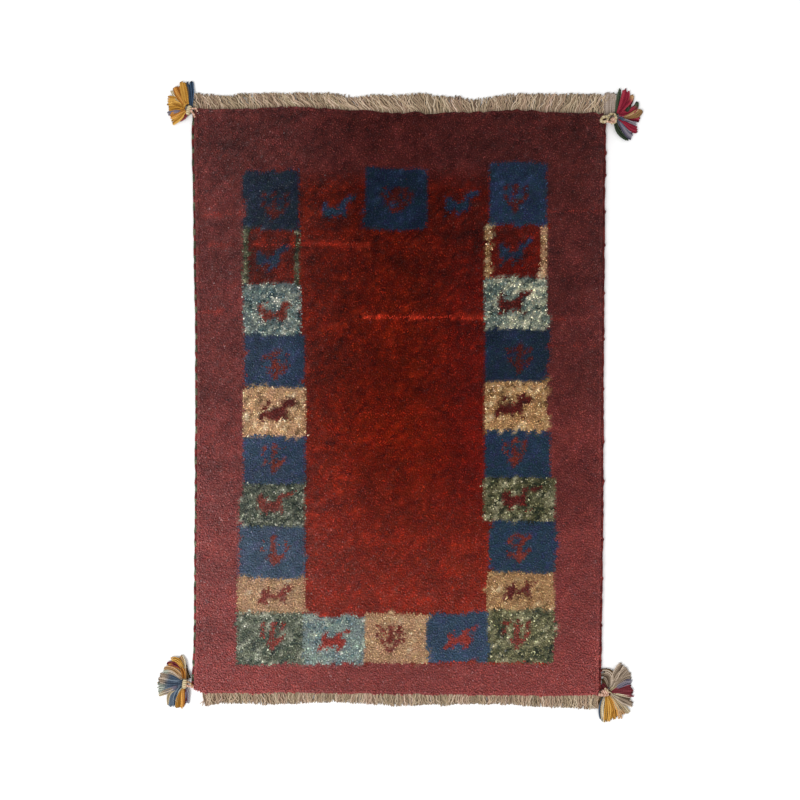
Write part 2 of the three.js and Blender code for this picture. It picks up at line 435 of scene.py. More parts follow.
def yarn_tubes(path: Array, radius: Array, colours: Array, sides: int = 6) -> Surface:
    """Round yarns carried along many paths at once, closed by a point at each end.

    A point of a ring is the path plus the radius times cos a to the side and sin a upward,
    square to the path.

    Args:
        path: Points, shaped yarns by steps by 3.
        radius: Radius at each step, shaped yarns by steps.
        colours: Linear colour at each step, shaped yarns by steps by 3.
        sides: Points around a ring.

    Returns:
        The joined surface, with coordinates around and along each yarn in millimetres.
    """
    yarns, steps = path.shape[:2]
    heading = unit(np.gradient(path, axis=1))
    side = unit(np.cross(heading, np.array([0.0, 0.0, 1.0])))
    upward = np.cross(side, heading)
    angle = np.arange(sides) * 2 * math.pi / sides
    spread = radius[:, :, None, None]
    ring = path[:, :, None] + spread * (
        np.cos(angle)[:, None] * side[:, :, None] + np.sin(angle)[:, None] * upward[:, :, None]
    )
    point = 0.4  # how far the closing point lies past the end, in radii
    first = path[:, 0] - heading[:, 0] * radius[:, :1] * point
    last = path[:, -1] + heading[:, -1] * radius[:, -1:] * point
    vertices = np.concatenate([ring.reshape(yarns, -1, 3), first[:, None], last[:, None]], axis=1)
    colour = np.concatenate(
        [np.repeat(colours, sides, axis=1), colours[:, :1], colours[:, -1:]], axis=1
    )
    reach = np.linalg.norm(np.diff(path, axis=1), axis=2).cumsum(axis=1)
    along = np.concatenate([np.zeros((yarns, 1)), reach], axis=1)
    around = np.tile(np.arange(sides) / sides, steps)
    ring_yarn = np.stack(
        [np.broadcast_to(around, (yarns, steps * sides)), np.repeat(along, sides, axis=1)], axis=-1
    )
    ends = np.stack([np.zeros((yarns, 2)), along[:, [0, -1]]], axis=-1)
    yarn = np.concatenate([ring_yarn, ends], axis=1)
    step, k = np.meshgrid(np.arange(steps - 1), np.arange(sides), indexing="ij")
    here, there = step * sides + k, step * sides + (k + 1) % sides
    quads = np.stack([here, here + sides, there + sides, there], axis=-1).reshape(-1, 4)
    turn = np.arange(sides)
    following = (turn + 1) % sides
    foot, tip = steps * sides, steps * sides + 1
    top = (steps - 1) * sides
    start_cap = np.stack([turn, following, np.full(sides, foot)], axis=-1)
    end_cap = np.stack([top + following, top + turn, np.full(sides, tip)], axis=-1)
    offset = (np.arange(yarns) * (steps * sides + 2))[:, None, None]
    faces = [(part[None] + offset).reshape(-1, part.shape[1]) for part in (quads, start_cap, end_cap)]
    return Surface(vertices.reshape(-1, 3), faces, colour.reshape(-1, 3), yarn.reshape(-1, 2))


def tufts(
    foot: Array, tip: Array, width: Array, colours: Array, random: np.random.Generator
) -> Surface:
    """Cut yarn ends, each a three-sided spindle from its foot through its belly to its tip, painted
    darker at the foot and lighter at the tip.

    A belly point is the foot plus a share of the way to the tip, plus half the width times
    cos a and sin a along two directions square to that way.

    Args:
        foot: Where each tuft starts, shaped tufts by 3.
        tip: Where it ends.
        width: Its width at the belly.
        colours: Its linear colour.
        random: Turns the tufts and varies their fibres.

    Returns:
        The joined surface.
    """
    belly_share = 0.66
    # Painted shade at the roots, where the tufts shade each other, and a painted highlight at the tips
    painted_root_shade, painted_belly_shade, painted_tip_highlight = 0.5, 0.92, 1.12
    count = len(foot)
    way = unit(tip - foot)
    side = unit(np.cross(way, np.array([0.31, 0.95, 0.05])))
    other = np.cross(way, side)
    turn = random.uniform(0, 2 * math.pi, count)
    angle = turn[:, None] + np.arange(3) * 2 * math.pi / 3
    belly = (foot + (tip - foot) * belly_share)[:, None] + (width / 2)[:, None, None] * (
        np.cos(angle)[:, :, None] * side[:, None] + np.sin(angle)[:, :, None] * other[:, None]
    )
    vertices = np.concatenate([foot[:, None], belly, tip[:, None]], axis=1)
    shade = np.array([painted_root_shade, painted_belly_shade, painted_belly_shade, painted_belly_shade, painted_tip_highlight])
    shade = shade * random.uniform(0.85, 1.15, (count, TUFT_POINTS))
    colour = colours[:, None] * shade[..., None]
    pattern = np.array([[1, 2, 4], [2, 3, 4], [3, 1, 4], [2, 1, 0], [3, 2, 0], [1, 3, 0]])
    faces = (pattern[None] + (np.arange(count) * TUFT_POINTS)[:, None, None]).reshape(-1, 3)
    return Surface(vertices.reshape(-1, 3), [faces], colour.reshape(-1, 3))


def add_node(
    tree: bpy.types.NodeTree, kind: str, settings: dict, links: dict | None = None
) -> bpy.types.Node:
    """Adds a node with its settings and links.

    Args:
        tree: The node tree.
        kind: The node's type.
        settings: Values by the node's own property, or else by its input.
        links: Output sockets by the input that each one feeds.

    Returns:
        The new node.
    """
    node = tree.nodes.new(kind)
    for name, value in settings.items():
        if hasattr(node, str(name)):
            setattr(node, name, value)
        else:
            node.inputs[name].default_value = value
    for name, socket in (links or {}).items():
        tree.links.new(socket, node.inputs[name])
    return node


@dataclass(frozen=True)
class WoolFinish:
    """Hand-spun wool or cotton: matt, with a soft sheen from loose fibres and a fine grain."""

    name: str
    grain: float  # length of a fibre streak, in millimetres
    contrast: float  # how much the fibres differ in tone
    relief: float  # depth that the grain is raised by, in millimetres
    ply: float = 0  # length of a turn of the yarn's twist, in millimetres, or 0 for loose pile
    roughness: float = 0.92
    specular: float = 0.02
    sheen: float = 0.03
    sheen_roughness: float = 0.55
    bump: float = 0.6
    painted_groove_shade: float = 0.62  # how dark the line between two plies is painted, as shade in the groove
    groove_depth: float = 1.5  # how much deeper it is than the grain

    def material(self) -> bpy.types.Material:
        """Makes the material: the wool's own colour, broken up by fibres and by the twist.

        Returns:
            The new material.
        """
        material = bpy.data.materials.new(self.name)
        material.use_nodes = True
        tree = material.node_tree
        shader = tree.nodes["Principled BSDF"]
        shader.inputs["Roughness"].default_value = self.roughness
        shader.inputs["Specular IOR Level"].default_value = self.specular
        shader.inputs["Sheen Weight"].default_value = self.sheen
        shader.inputs["Sheen Roughness"].default_value = self.sheen_roughness
        places = add_node(tree, "ShaderNodeTexCoord", {})
        fibres = add_node(
            tree,
            "ShaderNodeTexNoise",
            {"Scale": 1 / (self.grain * MM), "Detail": 2.0, "Roughness": 0.6},
            {"Vector": places.outputs["Object"]},
        )
        tone = add_node(
            tree,
            "ShaderNodeMapRange",
            {"From Min": 0.3, "From Max": 0.7, "To Min": 1 - self.contrast, "To Max": 1 + self.contrast},
            {"Value": fibres.outputs["Fac"]},
        )
        height = fibres.outputs["Fac"]
        shade = tone.outputs["Result"]
        if self.ply:
            height, shade = self.twist(tree, height, shade)
        wool = add_node(tree, "ShaderNodeAttribute", {"attribute_name": WOOL_LAYER})
        terms = {0: wool.outputs["Color"], 1: shade}
        colour = add_node(tree, "ShaderNodeVectorMath", {"operation": "MULTIPLY"}, terms)
        raised = {"Strength": self.bump, "Distance": self.relief * MM}
        bump = add_node(tree, "ShaderNodeBump", raised, {"Height": height})
        tree.links.new(colour.outputs["Vector"], shader.inputs["Base Color"])
        tree.links.new(bump.outputs["Normal"], shader.inputs["Normal"])
        return material

    def twist(
        self, tree: bpy.types.NodeTree, height: bpy.types.NodeSocket, shade: bpy.types.NodeSocket
    ) -> tuple[bpy.types.NodeSocket, bpy.types.NodeSocket]:
        """Adds the two plies winding round each other, as slanted bands along the yarn, with painted
        shade in the grooves between them.

        Args:
            tree: The node tree.
            height: The relief so far.
            shade: The tone so far.

        Returns:
            The relief and the tone with the plies in them.
        """
        yarn = add_node(tree, "ShaderNodeUVMap", {"uv_map": YARN_LAYER})
        parts = add_node(tree, "ShaderNodeSeparateXYZ", {}, {0: yarn.outputs["UV"]})
        turns = add_node(
            tree,
            "ShaderNodeMath",
            {"operation": "MULTIPLY_ADD", 1: 1 / self.ply},
            {0: parts.outputs["Y"], 2: parts.outputs["X"]},
        )
        angle = add_node(
            tree,
            "ShaderNodeMath",
            {"operation": "MULTIPLY", 1: 4 * math.pi},
            {0: turns.outputs["Value"]},
        )
        band = add_node(tree, "ShaderNodeMath", {"operation": "SINE"}, {0: angle.outputs["Value"]})
        groove = add_node(
            tree,
            "ShaderNodeMapRange",
            {"From Min": -1.0, "From Max": 0.2, "To Min": self.painted_groove_shade, "To Max": 1.0},
            {"Value": band.outputs["Value"]},
        ).outputs["Result"]
        raised = add_node(
            tree,
            "ShaderNodeMath",
            {"operation": "MULTIPLY_ADD", 1: self.groove_depth},
            {0: groove, 2: height},
        )
        terms = {0: groove, 1: shade}
        darkened = add_node(tree, "ShaderNodeMath", {"operation": "MULTIPLY"}, terms)
        return raised.outputs["Value"], darkened.outputs["Value"]


# The pile is loose cut wool: its ends scatter the light and show a fine uneven grain
PILE_WOOL = WoolFinish("hand-spun wool pile", grain=1.2, contrast=0.16, relief=0.35)
# The ground is packed wool over wefts: a little smoother and duller than the pile
GROUND_WOOL = WoolFinish("knotted wool ground", grain=1.6, contrast=0.25, relief=0.6)
# The side cords are wrapped with two-ply wool, which shows a tight twist
CORD_WOOL = WoolFinish("overcast wool", grain=0.8, contrast=0.18, relief=0.3, ply=5.0)
# The warp ends are undyed two-ply yarn, paler and a little smoother
WARP_YARN = WoolFinish("undyed warp yarn", grain=0.9, contrast=0.16, relief=0.35, ply=3.6)
# The tassels are loosely spun dyed wool
TASSEL_YARN = WoolFinish("dyed tassel wool", grain=0.9, contrast=0.2, relief=0.35, ply=5.5)


@dataclass
class RugPlan:
    """The rug's outline, as uneven as it was woven, and the soft lumps of its pile."""

    cord_diameter: float = 5.0
    gap: float = 0.3
    pile_height: float = 12.4
    pile_lump: float = 0.7
    # Lengths over which the pile's tips rise and sink: along X and Y, then along the slants
    broad_swell: tuple[float, float] = (71, 93)
    narrow_swell: tuple[float, float] = (47, 59)
    swell_starts: tuple[float, float, float] = (0.6, -0.4, 1.3)
    # How far the pile stands back from the bottom and the top end, where the warps show
    set_back: tuple[float, float] = (1.6, 3.3)
    # How raggedly the last rows of knots end at the top, and its share at the bottom
    ragged: tuple[Unevenness, ...] = (
        Unevenness(13, 13, 1.2, 23),
        Unevenness(5.2, 5.2, 1.4, 24),
        Unevenness(3.6, 3.6, 1.4, 25),
    )
    ragged_bottom: float = 0.6
    # Outer sides from the bottom end up: y, left, right
    sides: Array = field(
        default_factory=lambda: np.array(
            [
                [-434, -307.5, 298],
                [-330, -304, 299.5],
                [-240, -303.5, 301],
                [-120, -302.5, 302],
                [0, -302, 302],
                [100, -302, 303],
                [200, -304, 303.5],
                [300, -305.5, 304],
                [375, -307, 305.5],
                [434, -306.5, 305.5],
            ]
        )
    )
    # Where the pile stops, from left to right: x, top, bottom
    ends: Array = field(
        default_factory=lambda: np.array(
            [
                [-307, 431, -424],
                [-290, 433, -430.5],
                [-147, 436, -430],
                [0, 427.5, -432],
                [60, 427, -433],
                [178, 431.5, -434],
                [290, 426, -434.5],
                [306, 425, -434],
            ]
        )
    )

    def __post_init__(self) -> None:
        """Finds the shift from the rug's plan to the frame, from the knotted body's box."""
        low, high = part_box("knotted_body")
        middle = np.array([low.x + high.x, low.y + high.y]) / 2 / MM
        own_low = np.array([self.sides[:, 1].min(), self.ends[:, 2].min()])
        own_high = np.array([self.sides[:, 2].max(), self.ends[:, 1].max()])
        self.shift = np.append(middle - (own_low + own_high) / 2, 0.0)

    def side(self, side: Side, y: Array) -> Array:
        """X of one outer side at y."""
        column = 1 if side is Side.LEFT else 2
        return eased_between(self.sides[:, 0], self.sides[:, column], y)

    def end(self, end: End, x: Array) -> Array:
        """Y where the pile stops at one end, at x."""
        column = 1 if end is End.TOP else 2
        return eased_between(self.ends[:, 0], self.ends[:, column], x)

    def place(self, u: Array, v: Array, inset: Array | float) -> Array:
        """Places in the pile: u runs across and v up, between ragged ends.

        Args:
            u: Share of the way from left to right.
            v: Share of the way from bottom to top.
            inset: How far inside the pile's outline the shares 0 and 1 lie.

        Returns:
            X and Y along the last axis.
        """
        zero = np.zeros(1)
        rough_y = self.end(End.BOTTOM, zero) * (1 - v) + self.end(End.TOP, zero) * v
        edge = self.cord_diameter + self.gap + inset
        left = self.side(Side.LEFT, rough_y) + edge
        right = self.side(Side.RIGHT, rough_y) - edge
        x = left * (1 - u) + right * u
        ragged = sum(part.on_line(x) for part in self.ragged)
        bottom = self.end(End.BOTTOM, x) + self.set_back[0] + inset + ragged * self.ragged_bottom
        top = self.end(End.TOP, x) - self.set_back[1] - inset + ragged
        y = bottom * (1 - v) + top * v
        return np.stack([x, y], axis=-1)

    def tip_height(self, plan: Array) -> Array:
        """Height of the pile's tips: two crossed sine swells over the mean height.

        Args:
            plan: X and Y along the last axis.

        Returns:
            The height at each place.
        """
        x, y = plan[..., 0], plan[..., 1]
        first, second, third = self.swell_starts
        broad = np.sin(x / self.broad_swell[0] + first) * np.cos(y / self.broad_swell[1] + second)
        narrow = np.sin((x + y) / self.narrow_swell[0] + third)
        narrow = narrow * np.cos((x - y) / self.narrow_swell[1])
        return self.pile_height + self.pile_lump * (0.6 * broad + 0.4 * narrow)


@dataclass(frozen=True)
class Square:
    """One square of the design, with the figure knotted in its middle."""

    left: float
    right: float
    top: float
    bottom: float
    ground: Wool
    figure: Figure = Figure.NONE
    figure_wool: Wool = Wool.WINE
    gain: float = 1.0  # how light this lot of the wool came out
    nudge: tuple[float, float] = (0.0, 0.0)  # how far the figure lies off the square's middle

    def figure_middle(self) -> tuple[float, float]:
        """The figure's centre in the plan."""
        x, y = self.nudge
        return (self.left + self.right) / 2 + x, (self.top + self.bottom) / 2 + y


# The squares down the left side, from the top: sides, ground wool, figure and its wool
LEFT_SQUARES = (
    Square(-229, -147, 340, 252, Wool.NIGHT, Figure.FLOWER, Wool.WINE, 0.6, (5, -9)),
    Square(-230, -221, 252, 172, Wool.PINE, gain=0.98),
    Square(-153.5, -146, 252, 172, Wool.PINE, gain=0.6),
    Square(-221, -153.5, 251, 173, Wool.MADDER, Figure.HIND, Wool.NIGHT, 0.7, (2, -2)),
    Square(-229, -143, 172, 98, Wool.SKY, Figure.GOAT, Wool.RUST, 0.8, (4, -2)),
    Square(-227, -140, 98, 21, Wool.INDIGO, Figure.FLOWER, Wool.RUST, 1.0, (2, -7)),
    Square(-230, -136, 21, -51, Wool.CREAM, Figure.RAM, Wool.WINE, 0.98, (5, 4)),
    Square(-229, -137, -51, -121, Wool.INDIGO, Figure.FLOWER, Wool.RUST, 1.02, (-1, 3)),
    Square(-232, -138, -121, -184, Wool.GREEN, Figure.BUCK, Wool.RUST, 0.7, (6, 3)),
    Square(-235, -137, -184, -259, Wool.AZURE, Figure.FLOWER, Wool.RUST, 0.9, (3, 3)),
    Square(-238, -136, -259, -310, Wool.CREAM, Figure.LAMB, Wool.RUST, 0.76, (6, 2)),
    Square(-240, -141, -310, -387, Wool.GREEN, Figure.FLOWER, Wool.RUST, 0.88, (5, 6)),
)
# The squares down the right side, from the top
RIGHT_SQUARES = (
    Square(132, 217, 350, 258, Wool.NIGHT, Figure.FLOWER, Wool.WINE, 1.4, (-3, -4)),
    Square(127, 134.5, 258, 182, Wool.CAMEL, gain=0.86),
    Square(207, 217, 258, 182, Wool.CREAM, gain=0.97),
    Square(134.5, 207, 257, 183, Wool.MADDER, Figure.HIND, Wool.NIGHT, 1.0, (3, -2)),
    Square(124, 218, 182, 107, Wool.MIST, Figure.BUCK, Wool.WINE, 1.36, (0, 1)),
    Square(126, 219, 107, 30, Wool.NIGHT, Figure.FLOWER, Wool.WINE, 0.8, (3, -7)),
    Square(125, 218, 30, -43, Wool.CAMEL, Figure.RAM, Wool.WINE, 1.0, (-4, 1)),
    Square(125, 222, -43, -112, Wool.NIGHT, Figure.FLOWER, Wool.RUST, 1.08, (-3, 4)),
    Square(122, 229, -112, -175, Wool.MOSS, Figure.BUCK, Wool.WINE, 0.82, (4, 1)),
    Square(133, 230, -175, -252, Wool.NIGHT, Figure.BLOSSOM, Wool.RUST, 1.1, (-6, -2)),
    Square(128, 227, -252, -306, Wool.CAMEL, Figure.LAMB, Wool.WINE, 0.85, (2, 3)),
    Square(131, 228, -306, -383, Wool.MOSS, Figure.FLOWER, Wool.RUST, 1.03, (-7, 3)),
)
# The squares between the columns, at the top and the bottom
CROSS_SQUARES = (
    Square(-51, 41, 342, 253, Wool.NIGHT, Figure.POSY, Wool.WINE, 0.9, (3, -1)),
    Square(-141, -51, -314, -386, Wool.SKY, Figure.KID, Wool.BRICK, 1.02, (0, -1)),
    Square(-51, 41, -311, -385, Wool.CREAM, Figure.POSY, Wool.RUST, 0.82, (-5, 0)),
    Square(41, 131, -311, -382, Wool.INDIGO, Figure.KID, Wool.BRICK, 1.0, (4, -1)),
)


@dataclass(frozen=True)
class Streak:
    """A thin run of brighter wool that the weaver laid in along a row."""

    left: float
    right: float
    y: float
    strength: float


STREAKS = (
    Streak(-288, -231, 275, 0.25),
    Streak(-280, -231, 229, 0.2),
    Streak(-299, -258, 131, 0.25),
    Streak(219, 298, 280, 0.2),
    Streak(219, 290, 82, 0.2),
    Streak(-214, -42, 231, 0.6),
    Streak(-84, -42, 226, 0.4),
    Streak(-52, 122, 124, 1.0),
    Streak(218, 246, 121, 0.35),
    Streak(-24, 0, 84, 0.5),
    Streak(80, 122, 128, 0.4),
    Streak(-60, 60, -18, 0.25),
    Streak(-150, -110, 44, 0.35),
)


@dataclass(frozen=True)
class Band:
    """Rows that came out lighter or darker all across, as the dyer's lots changed."""

    y: float
    reach: float
    gain: float


BANDS = (
    Band(372, 18, -0.06),
    Band(284, 16, 0.05),
    Band(196, 24, -0.16),
    Band(100, 24, 0.08),
    Band(18, 20, -0.13),
    Band(-52, 30, 0.15),
    Band(-142, 34, -0.12),
    Band(-205, 20, 0.1),
    Band(-292, 16, 0.08),
    Band(-340, 20, -0.08),
)


@dataclass(frozen=True)
class Patch:
    """A place where the pile came out darker or lighter than round it."""

    x: float
    y: float
    reach: tuple[float, float]
    gain: float


PATCHES = (
    Patch(-108, 64, (34, 40), -0.14),
    Patch(92, 30, (42, 95), -0.38),
    Patch(78, 215, (46, 50), -0.18),
    Patch(-73, -256, (36, 36), -0.14),
    Patch(-100, -112, (40, 26), 0.34),
    Patch(0, -256, (120, 60), 0.12),
    Patch(-96, 292, (46, 46), -0.2),
    Patch(-98, 256, (44, 20), -0.36),
    Patch(-200, 396, (80, 34), -0.08),
    Patch(262, 32, (40, 50), -0.13),
    Patch(110, 230, (40, 40), -0.18),
    Patch(100, -112, (50, 40), -0.12),
    Patch(86, 292, (46, 46), -0.2),
    Patch(-270, -345, (30, 80), -0.15),
    Patch(-272, -262, (30, 40), -0.1),
    Patch(262, -265, (40, 46), -0.14),
    Patch(236, 130, (22, 60), -0.14),
    Patch(-270, -60, (30, 120), -0.07),
    Patch(262, 220, (40, 60), 0.15),
)


@dataclass(frozen=True)
class PaintedSheen:
    """Painted sheen: the light that the nap catches, painted in as a share of white mixed into the wool.
    """

    # Down the left side: y and share
    left: tuple[tuple[float, float], ...] = (
        (-434, 0.017),
        (-350, 0.02),
        (-130, 0.037),
        (30, 0.034),
        (240, 0.028),
        (434, 0.023),
    )
    left_fall: float = 0.75  # how much of it is gone by the rug's middle
    clear: float = 0.22  # half the width of the clear middle, as a share of the rug's
    foot: float = 0.036  # how much there is at the foot
    foot_start: float = -42.0  # where that starts, on the rug's middle line
    foot_reach: float = 360.0
    slant: float = 0.35  # how much lower it starts for each millimetre to the right
    slant_reach: float = 130.0
    foot_fall: float = 0.2  # how much less of it there is at the right
    edge: float = 0.006  # how much there is along the right edge
    edge_start: float = 0.93  # where that starts, as a share of the width
    edge_reach: float = 0.06
    loose: float = 0.003  # the least share of painted sheen, in the middle of the field

    def at(self, x: Array, y: Array) -> Array:
        """Works out the painted sheen: more at the left and at the foot.

        Args:
            x: Places across the rug.
            y: Places along the rug.

        Returns:
            The share of white painted in there as sheen.
        """
        across = share_across(x)
        middle = np.exp(-(((across - 0.5) / self.clear) ** 2))
        rows = np.array(self.left)
        left = eased_between(rows[:, 0], rows[:, 1], y) * (1 - self.left_fall * ease(2 * across))
        lower = self.slant * np.clip(x, -self.slant_reach, self.slant_reach)
        foot = self.foot * ease((self.foot_start - y - lower) / self.foot_reach)
        foot = foot * (1 - self.foot_fall * across)
        edge = self.edge * rise(across, self.edge_start, self.edge_reach)
        return left * (1 - middle) + foot + edge + self.loose


@dataclass(frozen=True)
class ToneAndPaintedLight:
    """Changes in tone over the rug, each as a power of e: painted light, lighter to the foot and the
    left, and the dye's own bands, patches and unevenness.
    """

    left_lighter: float = 0.43  # than the middle, as painted light
    foot_lighter: float = 0.97  # than the head, at the left, as painted light
    right_gain: float = 0.4  # how much more that is at the right
    band_shift: Unevenness = Unevenness(90, 90, 6, 43)  # how far the bands wander, in mm
    slow: tuple[Unevenness, ...] = (Unevenness(84, 60, 0.12, 44), Unevenness(42, 34, 0.18, 45))
    # Where the nap parts and bunches
    quick: tuple[Unevenness, ...] = (
        Unevenness(22, 19, 0.2, 46),
        Unevenness(11, 10, 0.22, 47),
        Unevenness(6, 5, 0.22, 48),
    )

    def at(self, x: Array, y: Array, life: Array) -> Array:
        """Works out the tone: painted light, lighter to the foot and the left, with the dye's bands,
        patches and unrest.

        A band and a patch fade as e to the minus square of the distance over their reach.

        Args:
            x: Places across the rug.
            y: Places along the rug.
            life: How lively the nap is there, from 0 for quite even.

        Returns:
            What the wool's colour is multiplied by.
        """
        across = share_across(x)
        to_foot = (self.foot_lighter + self.right_gain * across) * share_down(y)
        tone = to_foot - self.left_lighter * ease(2 * across)
        shift = self.band_shift.on_line(x)
        for band in BANDS:
            tone = tone + band.gain * np.exp(-(((y + shift - band.y) / band.reach) ** 2))
        for patch in PATCHES:
            far = ((x - patch.x) / patch.reach[0]) ** 2 + ((y - patch.y) / patch.reach[1]) ** 2
            tone = tone + patch.gain * np.exp(-far)
        unrest = sum(part.at(x, y) for part in (*self.slow, *self.quick))
        return np.exp(tone + unrest * life)


@dataclass
class Cartoon:
    """The knotted design: a colour for every knot of the rug."""

    plan: RugPlan
    sheen_kind: PaintedSheen = PaintedSheen()
    tone_kind: ToneAndPaintedLight = ToneAndPaintedLight()
    columns: int = 170
    rows: int = 244
    overhang: float = 0.2  # how far the pile's roots lie past the body's outline
    seed: int = 71
    # The red field inside the squares, and the depth over which the maroon turns into it
    field_top: float = 356.0
    field_fade: float = 50.0
    field_sides: tuple[float, float] = (-229.0, 218.0)
    field_bottom: float = -386.0
    # How far the rows and the edges of the squares wander, in millimetres, and single knots
    wander_x: Unevenness = Unevenness(40, 26, 1.6, 11)
    wander_y: Unevenness = Unevenness(34, 60, 2.0, 12)
    row_drift: Unevenness = Unevenness(55, KNOT * 0.9, KNOT * 0.35, 13)
    knot_stray: float = KNOT * 0.3
    # How unevenly each wool took its dye: short and long runs along the rows, and blots
    short_runs: Unevenness = Unevenness(8, KNOT, 1.0, 0)
    long_runs: Unevenness = Unevenness(34, KNOT * 1.2, 0.6, 2)
    blots: Unevenness = Unevenness(16, 9, 0.3, 1)
    first_lot: int = 100  # what the dyes' seeds start from
    lot_step: int = 7
    # How much less green and blue the field has at the right, where that starts and its reach,
    # across and up, and how much of it goes again towards the head
    redder: float = 0.42
    redder_across: tuple[float, float] = (20, 90)
    redder_up: tuple[float, float] = (-220, 120)
    redder_head: tuple[float, float] = (170, 110)
    head_share: float = 0.6
    calm: float = 0.62  # how much evener the pile is at the foot than at the head
    border_life: float = 0.85  # how lively the nap is in the border
    field_life: float = 1.25  # and in the field
    sheen_clumping: float = 0.35  # how unevenly the painted sheen falls from knot to knot
    # The two hinds knotted into the field's head, and how light their wool came out
    hinds: tuple[tuple[float, float], ...] = ((-88, 282), (93, 291))
    hind_gain: float = 1.3
    # How a streak wanders off its row, how wide it is in knots, and how it thins
    streak_drift: Unevenness = Unevenness(60, 60, 1.4, 31)
    streak_width: float = 0.6
    streak_mean: float = 0.85
    streak_thin: Unevenness = Unevenness(9, 9, 0.6, 32)

    def __post_init__(self) -> None:
        """Places the knots and colours them."""
        u = (np.arange(self.columns) + 0.5) / self.columns
        v = (np.arange(self.rows) + 0.5) / self.rows
        self.place = self.plan.place(*np.meshgrid(u, v), -self.overhang)
        self.random = np.random.default_rng(self.seed)
        self.colour = self.knot_colours()

    def under(self, cover: Array) -> tuple[Array, Array, Array]:
        """Colour, unevenness and painted sheen of the knots that the tufts come to lie over.

        Args:
            cover: How far each tuft, two for a knot, lies off its own knot, in knots.

        Returns:
            A linear colour and two shares for each tuft.
        """
        row, column = np.indices(self.place.shape[:2])
        row = np.repeat(row.ravel(), 2) + np.rint(cover[:, 1]).astype(int)
        column = np.repeat(column.ravel(), 2) + np.rint(cover[:, 0]).astype(int)
        row, column = np.clip(row, 0, self.rows - 1), np.clip(column, 0, self.columns - 1)
        fibrous = self.fibrous * self.evenness
        return self.colour[row, column], fibrous[row, column], self.painted_sheen[row, column]

    def warped(self) -> tuple[Array, Array]:
        """Finds where each knot lies in the straight design, as rows wander and edges are ragged.

        Returns:
            X and Y in the straight design.
        """
        x, y = self.place[..., 0], self.place[..., 1]
        by_row = self.row_drift.at(x, y)
        by_knot = self.random.uniform(-1, 1, (2, *x.shape)) * self.knot_stray
        design_x = x + self.wander_x.at(x, y) + by_row + by_knot[0]
        return design_x, y + self.wander_y.at(x, y) + by_knot[1]

    def dyed(self, wool: Wool) -> Array:
        """Colours every knot as if it were of one wool, with its dye's unevenness and the rug's changes
        in tone, painted light among them.

        Args:
            wool: The wool.

        Returns:
            A linear colour for each knot.
        """
        dye = wool.value
        x, y = self.place[..., 0], self.place[..., 1]
        lot = self.first_lot + self.lot_step * list(Wool).index(wool)
        single = self.random.normal(0, 1, x.shape) * dye.mottled
        shared = sum(part.at(x, y, lot) for part in (self.short_runs, self.long_runs, self.blots))
        shade = np.clip(0.5 + (single + shared * dye.streaked) * self.evenness, 0, 1)
        return wool_colour(dye.shades, shade) * (self.tone_and_painted_light**dye.tone_power)[..., None]

    def knot_colours(self) -> Array:
        """Colours all knots: border, field, squares, figures and streaks.

        Returns:
            A linear colour for each knot.
        """
        x, y = self.place[..., 0], self.place[..., 1]
        self.evenness = 1 - self.calm * np.clip(share_down(y), 0, 1)
        soft_x, soft_y = self.warped()
        in_field = self.share_of_field(soft_x, soft_y)
        life = self.border_life + (self.field_life - self.border_life) * in_field
        # Painted sheen for each knot, later added to the tufts' colour
        sheen_clumps = 1 + self.sheen_clumping * (self.random.exponential(1, x.shape) - 1) * self.evenness
        self.painted_sheen = self.sheen_kind.at(x, y) * sheen_clumps
        # The rug's changes in tone, with painted light lighter to the foot and the left
        self.tone_and_painted_light = self.tone_kind.at(x, y, self.evenness * life)
        wools = {wool: self.dyed(wool) for wool in Wool}
        wools[Wool.MADDER][..., 1:] *= (1 - self.lost_green(x, y))[..., None]
        colour = wools[Wool.MAROON]
        colour = colour + (wools[Wool.MADDER] - colour) * in_field[..., None]
        red = np.ones(x.shape, bool)
        self.fibrous = np.full(x.shape, Wool.MADDER.value.fibrous)
        for square in (*LEFT_SQUARES, *RIGHT_SQUARES, *CROSS_SQUARES):
            across = (soft_x > square.left) & (soft_x < square.right)
            within = across & (soft_y < square.top) & (soft_y > square.bottom)
            colour = np.where(within[..., None], wools[square.ground] * square.gain, colour)
            red &= ~within | (square.ground is Wool.MADDER)
            self.fibrous[within] = square.ground.value.fibrous
            wool = wools[square.figure_wool]
            colour = self.with_figure(colour, square.figure, wool, square.figure_middle())
        for middle in self.hinds:
            wool = wools[Wool.NIGHT] * self.hind_gain
            colour = self.with_figure(colour, Figure.HIND, wool, middle)
        for streak in STREAKS:
            colour = self.with_streak(colour, wools[Wool.SCARLET], streak, red)
        return colour

    def share_of_field(self, x: Array, y: Array) -> Array:
        """Finds how far each place of the straight design belongs to the field.

        Args:
            x: Places across the design.
            y: Places along it.

        Returns:
            From 0 in the border to 1 in the field.
        """
        inside = (x > self.field_sides[0]) & (x < self.field_sides[1])
        return ease((self.field_top - y) / self.field_fade) * (y > self.field_bottom) * inside

    def lost_green(self, x: Array, y: Array) -> Array:
        """Finds how much less green and blue the field has than its wool.

        Args:
            x: Places across the rug.
            y: Places along the rug.

        Returns:
            The share that is lost.
        """
        lost = self.redder * rise(x, *self.redder_across) * rise(y, *self.redder_up)
        return lost * (1 - self.head_share * rise(y, *self.redder_head))

    def with_streak(self, colour: Array, scarlet: Array, streak: Streak, red: Array) -> Array:
        """Lays a run of scarlet into one row of knots of the red ground, here and there thin.

        Args:
            colour: Colours so far.
            scarlet: Every knot's colour if it is scarlet.
            streak: Where the run lies.
            red: Which knots are of the red ground.

        Returns:
            The colours with the streak in them.
        """
        x, y = self.place[..., 0], self.place[..., 1]
        drift = streak.y + self.streak_drift.on_line(x)
        run = red & (np.abs(y - drift) < self.streak_width * KNOT)
        run &= (x > streak.left) & (x < streak.right)
        thin = np.clip(self.streak_mean + self.streak_thin.at(x, y), 0, 1) * streak.strength
        return colour + (scarlet - colour) * (run * thin)[..., None]

